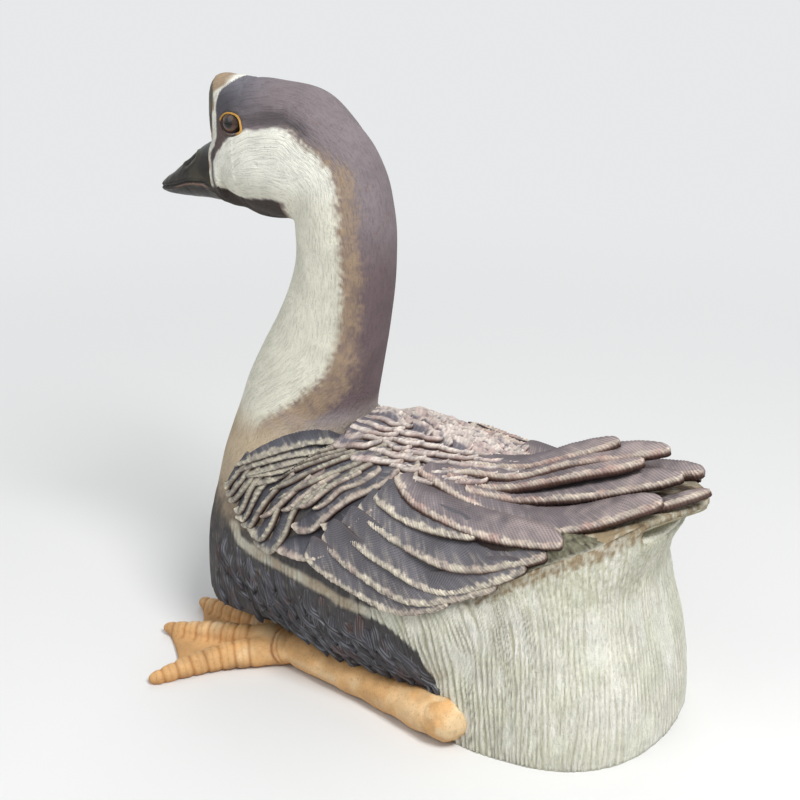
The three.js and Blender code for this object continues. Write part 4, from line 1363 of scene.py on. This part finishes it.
def rod(path, size_at, rows, around, cap):
    """A round form along a path. size_at gives its radius at a share of its length; cap rounds its ends."""
    def place(t, turn):
        share = (1 - np.cos(np.pi * t[:, 0])) / 2
        line = curve(path, share)
        along = unit(np.gradient(line, axis=0))
        across = unit(np.cross(along, (0, 0, 1)))
        over = np.cross(across, along)
        end = np.minimum(1, np.minimum(share, 1 - share) / cap)
        size = (size_at(share) * np.sqrt(np.maximum(0, 1 - (1 - end) ** 2)))[:, None]
        sideways, upward = (size * np.sin(turn))[..., None], (size * np.cos(turn))[..., None]
        return np.moveaxis(line[:, None] + across[:, None] * sideways + over[:, None] * upward, -1, 0)

    return loft(place, rows, around)


def toe(path, thick):
    """A toe with pads between its knuckles."""
    def size(share):
        pad = 0.92 + 0.1 * np.abs(np.sin(np.pi * share * KNUCKLES)) ** 0.6
        return thick * (1 - 0.6 * share**2) * pad

    return rod(path, size, rows=120, around=32, cap=0.08)


def web(near, far, reach):
    """The flat skin between two toes."""
    i, s = np.meshgrid(np.linspace(0.02, 1, WEB_ROWS), np.linspace(0, 1, WEB_COLS), indexing="ij")
    share = i * (1 - WEB_DIP * np.sin(np.pi * s) * i**3)
    ends = zip((near, far), reach)
    a, b = (curve(line, share.ravel() * end).reshape(*share.shape, 3) for line, end in ends)
    top = a * (1 - s)[..., None] + b * s[..., None]
    top[..., 2] = 15 - 8.5 * i**0.8 - 1.2 * np.sin(np.pi * s)
    low = top * (1, 1, 0) - (0, 0, 1)
    faces = np.roll(plate_faces(WEB_ROWS, WEB_COLS)[:, ::-1], 1, 1)
    return np.concatenate([top.reshape(-1, 3), low.reshape(-1, 3)]), faces.tolist()


def foot():
    """The left leg and webbed foot as one piece, with wrinkled toes."""
    parts = [web(near, far, reach) for (near, _), (far, _), reach in zip(TOES, TOES[1:], WEB_REACH)]
    parts += [toe(path, thick) for path, thick in TOES]
    shank_size = lambda share: between(SHANK_SIZES, share)[0]
    parts.append(rod(SHANK_PATH, shank_size, rows=60, around=36, cap=0.12))
    ankle, ankle_faces = egg(*ANKLE)
    parts.append((ankle + (ANKLE_X, 0, 0), ankle_faces))
    verts, normals, faces = melted(parts, voxel=1.5, smoothing=3)
    x, y, z = verts.T
    out = 0.4 * noise(verts, 9, 41)
    # paler in patches, and only on the upper parts: patchy tone with a painted highlight
    paint = mix(OCHRE, OCHRE_PALE, rise(noise(verts, 13, 42), -0.1, 0.8) * 0.7 * rise(z, 6, 16))
    # wrinkles across the toes, deeper between the knuckles, and painted darker in them as shade
    for path, thick in TOES:
        off, along = from_line(traced(path, 30), x, y, z)
        wrinkle = wave(along * KNUCKLES * 2 + 0.15 * noise(verts, 8, 43)) ** 4
        deep = wave(along * KNUCKLES) ** 8
        cut = (0.3 * wrinkle + 0.5 * deep) * rise(thick * 1.2 - off, 0, 2) * rise(along, 0.14, 0.24)
        out = out - cut
        paint = mix(paint, OCHRE_DEEP, cut)
    # the groove round the ankle, painted brown in it as shade
    bend = y - 0.1 * (x - 70) + 0.35 * (z - 14)
    ring = np.maximum(bump(bend, -77, 0.9), 0.6 * bump(bend, -73, 0.8)) * (x > 38) * (z > 4)
    out = out - 0.8 * ring
    paint = mix(paint, ANKLE_BROWN, ring * 0.85)
    # the rough leg behind it
    hock = rise(y, 70, 100)
    out = out + hock * (0.8 * noise(verts, 7, 44) - 1.0 * bump(noise(verts, 12, 45), 0, 0.12))
    out = out + (1.3 * noise(verts, 19, 46) + 0.35 * noise(verts, 3.4, 47)) * rise(y, -60, -20)
    paint = mix(paint, OCHRE_PALE, hock * rise(noise(verts, 9, 48), -0.3, 0.6) * 0.7)
    paint = mix(paint, OCHRE_DEEP, rise(noise(verts, 3, 49), 0.45, 0.9) * 0.3)
    paint = mix(paint, OCHRE_DEEP, fall(z, 1, 9) * 0.6)
    verts = verts + normals * out[:, None]
    verts[:, 2] = np.maximum(verts[:, 2], 0)
    return verts, faces, paint


# ---- bill, knob and eyes ----

MOUTH = [
    (-240, 391.5), (-226, 393.5), (-213, 397), (-202, 401), (-193, 403), (-181, 404), (-173, 401),
    (-164, 397),
]
NOSTRIL = [(-196, 423), (-204, 416)]
EYE_MIDDLE, EYE_RADIUS = np.array([17.6, -144, 459.3]), 12.0
LID_ROWS, LID_AROUND = 128, 20


def beak():
    """The bill and its knob, with the line of the mouth, the lips, the nostril and the nail."""
    verts, normals, faces = melted([bill(), egg(*KNOB)], voxel=0.85, smoothing=3)
    x, y, z = verts.T
    side = rise(np.abs(x), 2, 5)
    lip, _ = from_line(MOUTH, y, z)
    above = z - np.interp(y, *np.array(MOUTH).T)
    ahead = fall(y, -168, -164)
    hole, _ = from_line(NOSTRIL, y, z)
    dent = rise(3.1 - hole, 0, 1.8) * side * (z > 405)
    out = -1.5 * bump(lip, 0, 0.9) * ahead - 2.4 * dent
    out += (0.7 * bump(above, -2.2, 1.2) + 0.5 * bump(above, 3.0, 1.8)) * ahead * (y > -228)
    out += 0.7 * bump(hole, 4.6, 1.6) * side * (z > 405)
    out += 0.25 * noise(verts, 6, 51) + 0.12 * noise(verts, 2, 53)
    out += 0.5 * fall(y, -228, -224) * (z > 392)
    paint = mix(BILL_BLACK, BILL_OLIVE, rise(noise(verts, 12, 52), -0.3, 0.9) * 0.6)
    # a painted grey-blue highlight on the bill's ridge by the forehead
    paint = mix(paint, BILL_HIGHLIGHT, rise(z, 424, 436) * fall(y, -180, -174) * fall(z, 440, 452) * 0.7)
    paint = mix(paint, KNOB_WORN, rise(z, 440, 470) * (0.45 + 0.3 * noise(verts, 5, 54)))
    # a painted pale highlight along the lower lip, under the mouth's line
    paint = mix(paint, LIP_HIGHLIGHT, bump(above, -1.6, 0.6) * fall(y, -180, -172) * rise(y, -220, -208) * 0.7)
    # the nostril's dent and the mouth's groove painted black, as shade
    paint = mix(paint, HOLLOW_SHADE, np.maximum(dent, bump(lip, 0, 0.8) * ahead))
    return mesh_object("bill_and_knob", verts + normals * out[:, None], faces, paint)


def eyeball():
    """A glazed ball that looks sideways and a little ahead: a brown iris round a black pupil."""
    look = unit(np.array([1, -0.06, 0.1]))
    up = unit(np.array([0, 0, 1]) - look * look[2])
    ahead = np.cross(up, look)

    def place(t, turn):
        polar = np.pi * t[..., None]
        spoke = up * np.cos(turn)[..., None] + ahead * np.sin(turn)[..., None]
        return np.moveaxis(EYE_MIDDLE + EYE_RADIUS * (look * np.cos(polar) + spoke * np.sin(polar)), -1, 0)

    verts, faces = loft(place, rows=64, around=64)
    off = np.linalg.norm(np.cross(verts - EYE_MIDDLE, look), axis=1)
    # the iris is painted darker above, as shade under the lid, and lighter below
    paint = mix(IRIS, IRIS_LIGHT, fall(verts[:, 2], 453, 461) * 0.8)
    paint = mix(paint, EYE_RING, rise(off, 6.4, 8.4))
    return verts, faces, mix(paint, PUPIL, fall(off, 3.6, 4.6))


def eyelid():
    """The rolled rim round the eye, laid on the head: ochre above, brown below."""
    turn = np.linspace(-np.pi, np.pi, LID_ROWS, endpoint=False)
    y = EYE_AT[0] + EYE_REACH[0] * eye_reach(turn) * np.cos(turn)
    z = EYE_AT[1] + EYE_REACH[1] * eye_reach(turn) * np.sin(turn)
    on, out = cast(np.stack([0 * turn + 100, y, z], -1), (-1.0, 0, 0))
    for _ in range(6):
        on, out = ((np.roll(line, 1, 0) + 2 * line + np.roll(line, -1, 0)) / 4 for line in (on, out))
    out = unit(out)[:, None]
    spoke = unit(np.cross(np.roll(on, -1, 0) - np.roll(on, 1, 0), out[:, 0]))[:, None]
    upper = rise(turn, -0.95, -0.6) * fall(turn, 2.8, 3.1)
    tube = (0.75 + 0.1 * upper)[:, None, None]
    roll = np.linspace(0, 2 * np.pi, LID_AROUND, endpoint=False)[None, :, None]
    verts = on[:, None] + 0.5 * out + tube * (spoke * np.cos(roll) + 1.15 * out * np.sin(roll))
    grid = np.arange(LID_ROWS * LID_AROUND).reshape(LID_ROWS, LID_AROUND)
    paint = np.broadcast_to(mix(LID_BROWN, LID_OCHRE, upper[:, None]), verts.shape)
    faces = grid_faces(np.pad(grid, (0, 1), mode="wrap")).tolist()
    return verts.reshape(-1, 3), faces, paint.reshape(-1, 3)


# ---- materials ----


def clay(name, grit=0.35, streak=0.0, along=None, roughness=0.78, spread=0.12, coat=0.0, speck=0.25,
         shine=0.35):
    """Painted clay: the paint on the mesh, broken up by brushing, specks, grit and incised strokes.

    grit and streak are depths in millimetres. The strokes run down, or as the values named by along say."""
    material = bpy.data.materials.new(name)
    material.use_nodes = True
    tree = material.node_tree
    place = tree.nodes.new("ShaderNodeTexCoord").outputs["Object"]

    def ramp(value, low, high, least, most):
        ends = {"From Min": low, "From Max": high, "To Min": least, "To Max": most}
        return node(tree, "ShaderNodeMapRange", {"Value": value, **ends})

    def cloud(size, detail=3.0, place=place):
        lumps = {"Scale": 1 / (size * MM), "Detail": detail, "Roughness": 0.6}
        return node(tree, "ShaderNodeTexNoise", {"Vector": place, **lumps})

    def times(colour, other):
        inputs = {0: 1.0, 6: colour, 7: other}
        return node(tree, "ShaderNodeMix", inputs, 2, data_type="RGBA", blend_type="MULTIPLY")

    def relief(height, strength, depth, **over):
        inputs = {"Height": height, "Strength": strength, "Distance": depth * MM, **over}
        return node(tree, "ShaderNodeBump", inputs)

    paint = node(tree, "ShaderNodeAttribute", {}, attribute_name="paint")
    washes = ramp(cloud(24), 0.3, 0.7, 1 - spread, 1 + spread)
    colour = times(times(paint, washes), ramp(cloud(1.5, 4), 0.30, 0.45, 1 - speck, 1.0))
    normal = relief(cloud(1.1, 2), 0.8, grit)
    if streak:
        if along:
            combed = node(tree, "ShaderNodeAttribute", {}, "Vector", attribute_name=along)
        else:
            combed = node(tree, "ShaderNodeMapping", {"Vector": place, "Scale": (1, 1, STROKE)})
        strokes = cloud(1.7, 2, combed)
        colour = times(colour, ramp(strokes, 0.36, 0.5, 0.88, 1.03))
        normal = relief(ramp(strokes, 0.35, 0.6, 0, 1), 1.0, streak, Normal=normal)
    finish = {
        "Base Color": colour, "Roughness": ramp(cloud(6), 0.3, 0.7, roughness - 0.1, roughness + 0.1),
        "Normal": normal, "Specular IOR Level": shine, "Coat Weight": coat, "Coat Roughness": 0.15,
    }
    for key, value in finish.items():
        feed(tree, tree.nodes["Principled BSDF"].inputs[key], value)
    return material


CLAY = {
    "plumage_clay": clay("painted_clay", streak=0.5),
    "skin_clay": clay("skin_clay", streak=0.4, along="grain"),
    "feather_clay": clay("feather_clay", grit=0.4),
    "bill_glaze": clay("bill_glaze", grit=0.12, roughness=0.4, spread=0.25, coat=0.15, shine=0.3),
    "eye_glaze": clay("eye_glaze", grit=0.02, roughness=0.2, spread=0.1, speck=0.0, coat=0.5, shine=0.3),
    "foot_clay": clay("foot_clay", grit=0.3, roughness=0.62, spread=0.2, speck=0.3),
}

# ---- the pieces ----


def finished(piece, slot, *nodes, clay=None):
    """Gives a piece the clay that its slot or clay names, makes the part's root its body, and hides the
    solids it stands for.
    """
    piece.data.materials.append(CLAY[clay or slot])
    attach(piece, "root")
    if nodes:
        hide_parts(*nodes)


def both_sides(name, form, slot, *nodes):
    """Finishes a form on the left, and its mirror image on the right."""
    verts, faces, paint = form
    for side, ending in SIDES:
        turned = [face if side == LEFT else face[::-1] for face in faces]
        piece = mesh_object(f"{name}_{ending}", verts * (side, 1, 1), turned, paint)
        finished(piece, slot, *(f"{solid}_{ending}" for solid in nodes))


rump_coat = wrap(RUMP_AXIS, RUMP_RADIUS, 1, RUMP_REACH, rump_top, rump_relief, rump_paint, tail_rim)
breast_coat = wrap(
    BREAST_Y, BREAST_RADIUS, -1, BREAST_REACH, lambda q, y: BREAST_TOP + 0 * q, breast_relief, breast_paint,
    low=lambda y: np.interp(y, *HEM),
)

finished(
    skin_piece(), "plumage_clay", "head", "neck_upper", "neck_lower", "trunk", "rump", "dewlap",
    clay="skin_clay",
)
finished(coat_mesh("rump_plumage", rump_coat), "plumage_clay")
finished(coat_mesh("breast_plumage", breast_coat), "plumage_clay")
finished(coat_mesh("tail_feathers", tail_coat()), "feather_clay", "tail")
finished(coat_mesh("mantle_feathers", mantle), "feather_clay", "mantle")
for side, ending in SIDES:
    long_ones = primaries if side == LEFT else crossed
    for name, coat, solid in (
        ("covert", coverts, "coverts"), ("secondary", secondaries, "secondaries"),
        ("primary", long_ones, "primaries"), ("flank", flank, "flank"),
    ):
        finished(coat_mesh(f"{name}_feathers_{ending}", coat, side), "feather_clay", f"{solid}_{ending}")
both_sides("webbed_foot", foot(), "foot_clay", "leg", "foot")
both_sides("eyeball", eyeball(), "eye_glaze", "eye")
both_sides("eyelid", eyelid(), "foot_clay")
finished(beak(), "bill_glaze", "bill_upper", "bill_lower", "knob")

# ---- the floor ----

FLOOR_HALF, FLOOR_GREY = 15000, (0.78, 0.78, 0.77, 1)
FADE_FROM, FADE_TO = 0.3, 1.5  # how far from the goose the floor starts to pale, and ends


def floor_material():
    """Matt grey that turns as pale as the backdrop far from the goose."""
    material = bpy.data.materials.new("floor")
    material.use_nodes = True
    tree = material.node_tree
    floor_clay = tree.nodes["Principled BSDF"]
    floor_clay.inputs["Base Color"].default_value = FLOOR_GREY
    floor_clay.inputs["Roughness"].default_value = 0.9
    place = tree.nodes.new("ShaderNodeTexCoord").outputs["Object"]
    seen = tree.nodes.new("ShaderNodeLightPath").outputs["Is Camera Ray"]
    far = node(tree, "ShaderNodeVectorMath", {0: place}, "Value", operation="LENGTH")
    ends = {"From Min": FADE_FROM, "From Max": FADE_TO}
    fade = node(tree, "ShaderNodeMapRange", {"Value": far, **ends}, interpolation_type="SMOOTHSTEP")
    share = node(tree, "ShaderNodeMath", {0: fade, 1: seen}, operation="MULTIPLY")
    pale = node(tree, "ShaderNodeEmission", {"Color": BACKDROP})
    chosen = node(tree, "ShaderNodeMixShader", {0: share, 1: floor_clay.outputs[0], 2: pale})
    tree.links.new(chosen, tree.nodes["Material Output"].inputs["Surface"])
    return material


corners = np.array([(-1, -1, 0), (1, -1, 0), (1, 1, 0), (-1, 1, 0)], float)
floor = mesh_object("floor", corners * FLOOR_HALF, [[0, 1, 2, 3]])
floor.data.materials.append(floor_material())
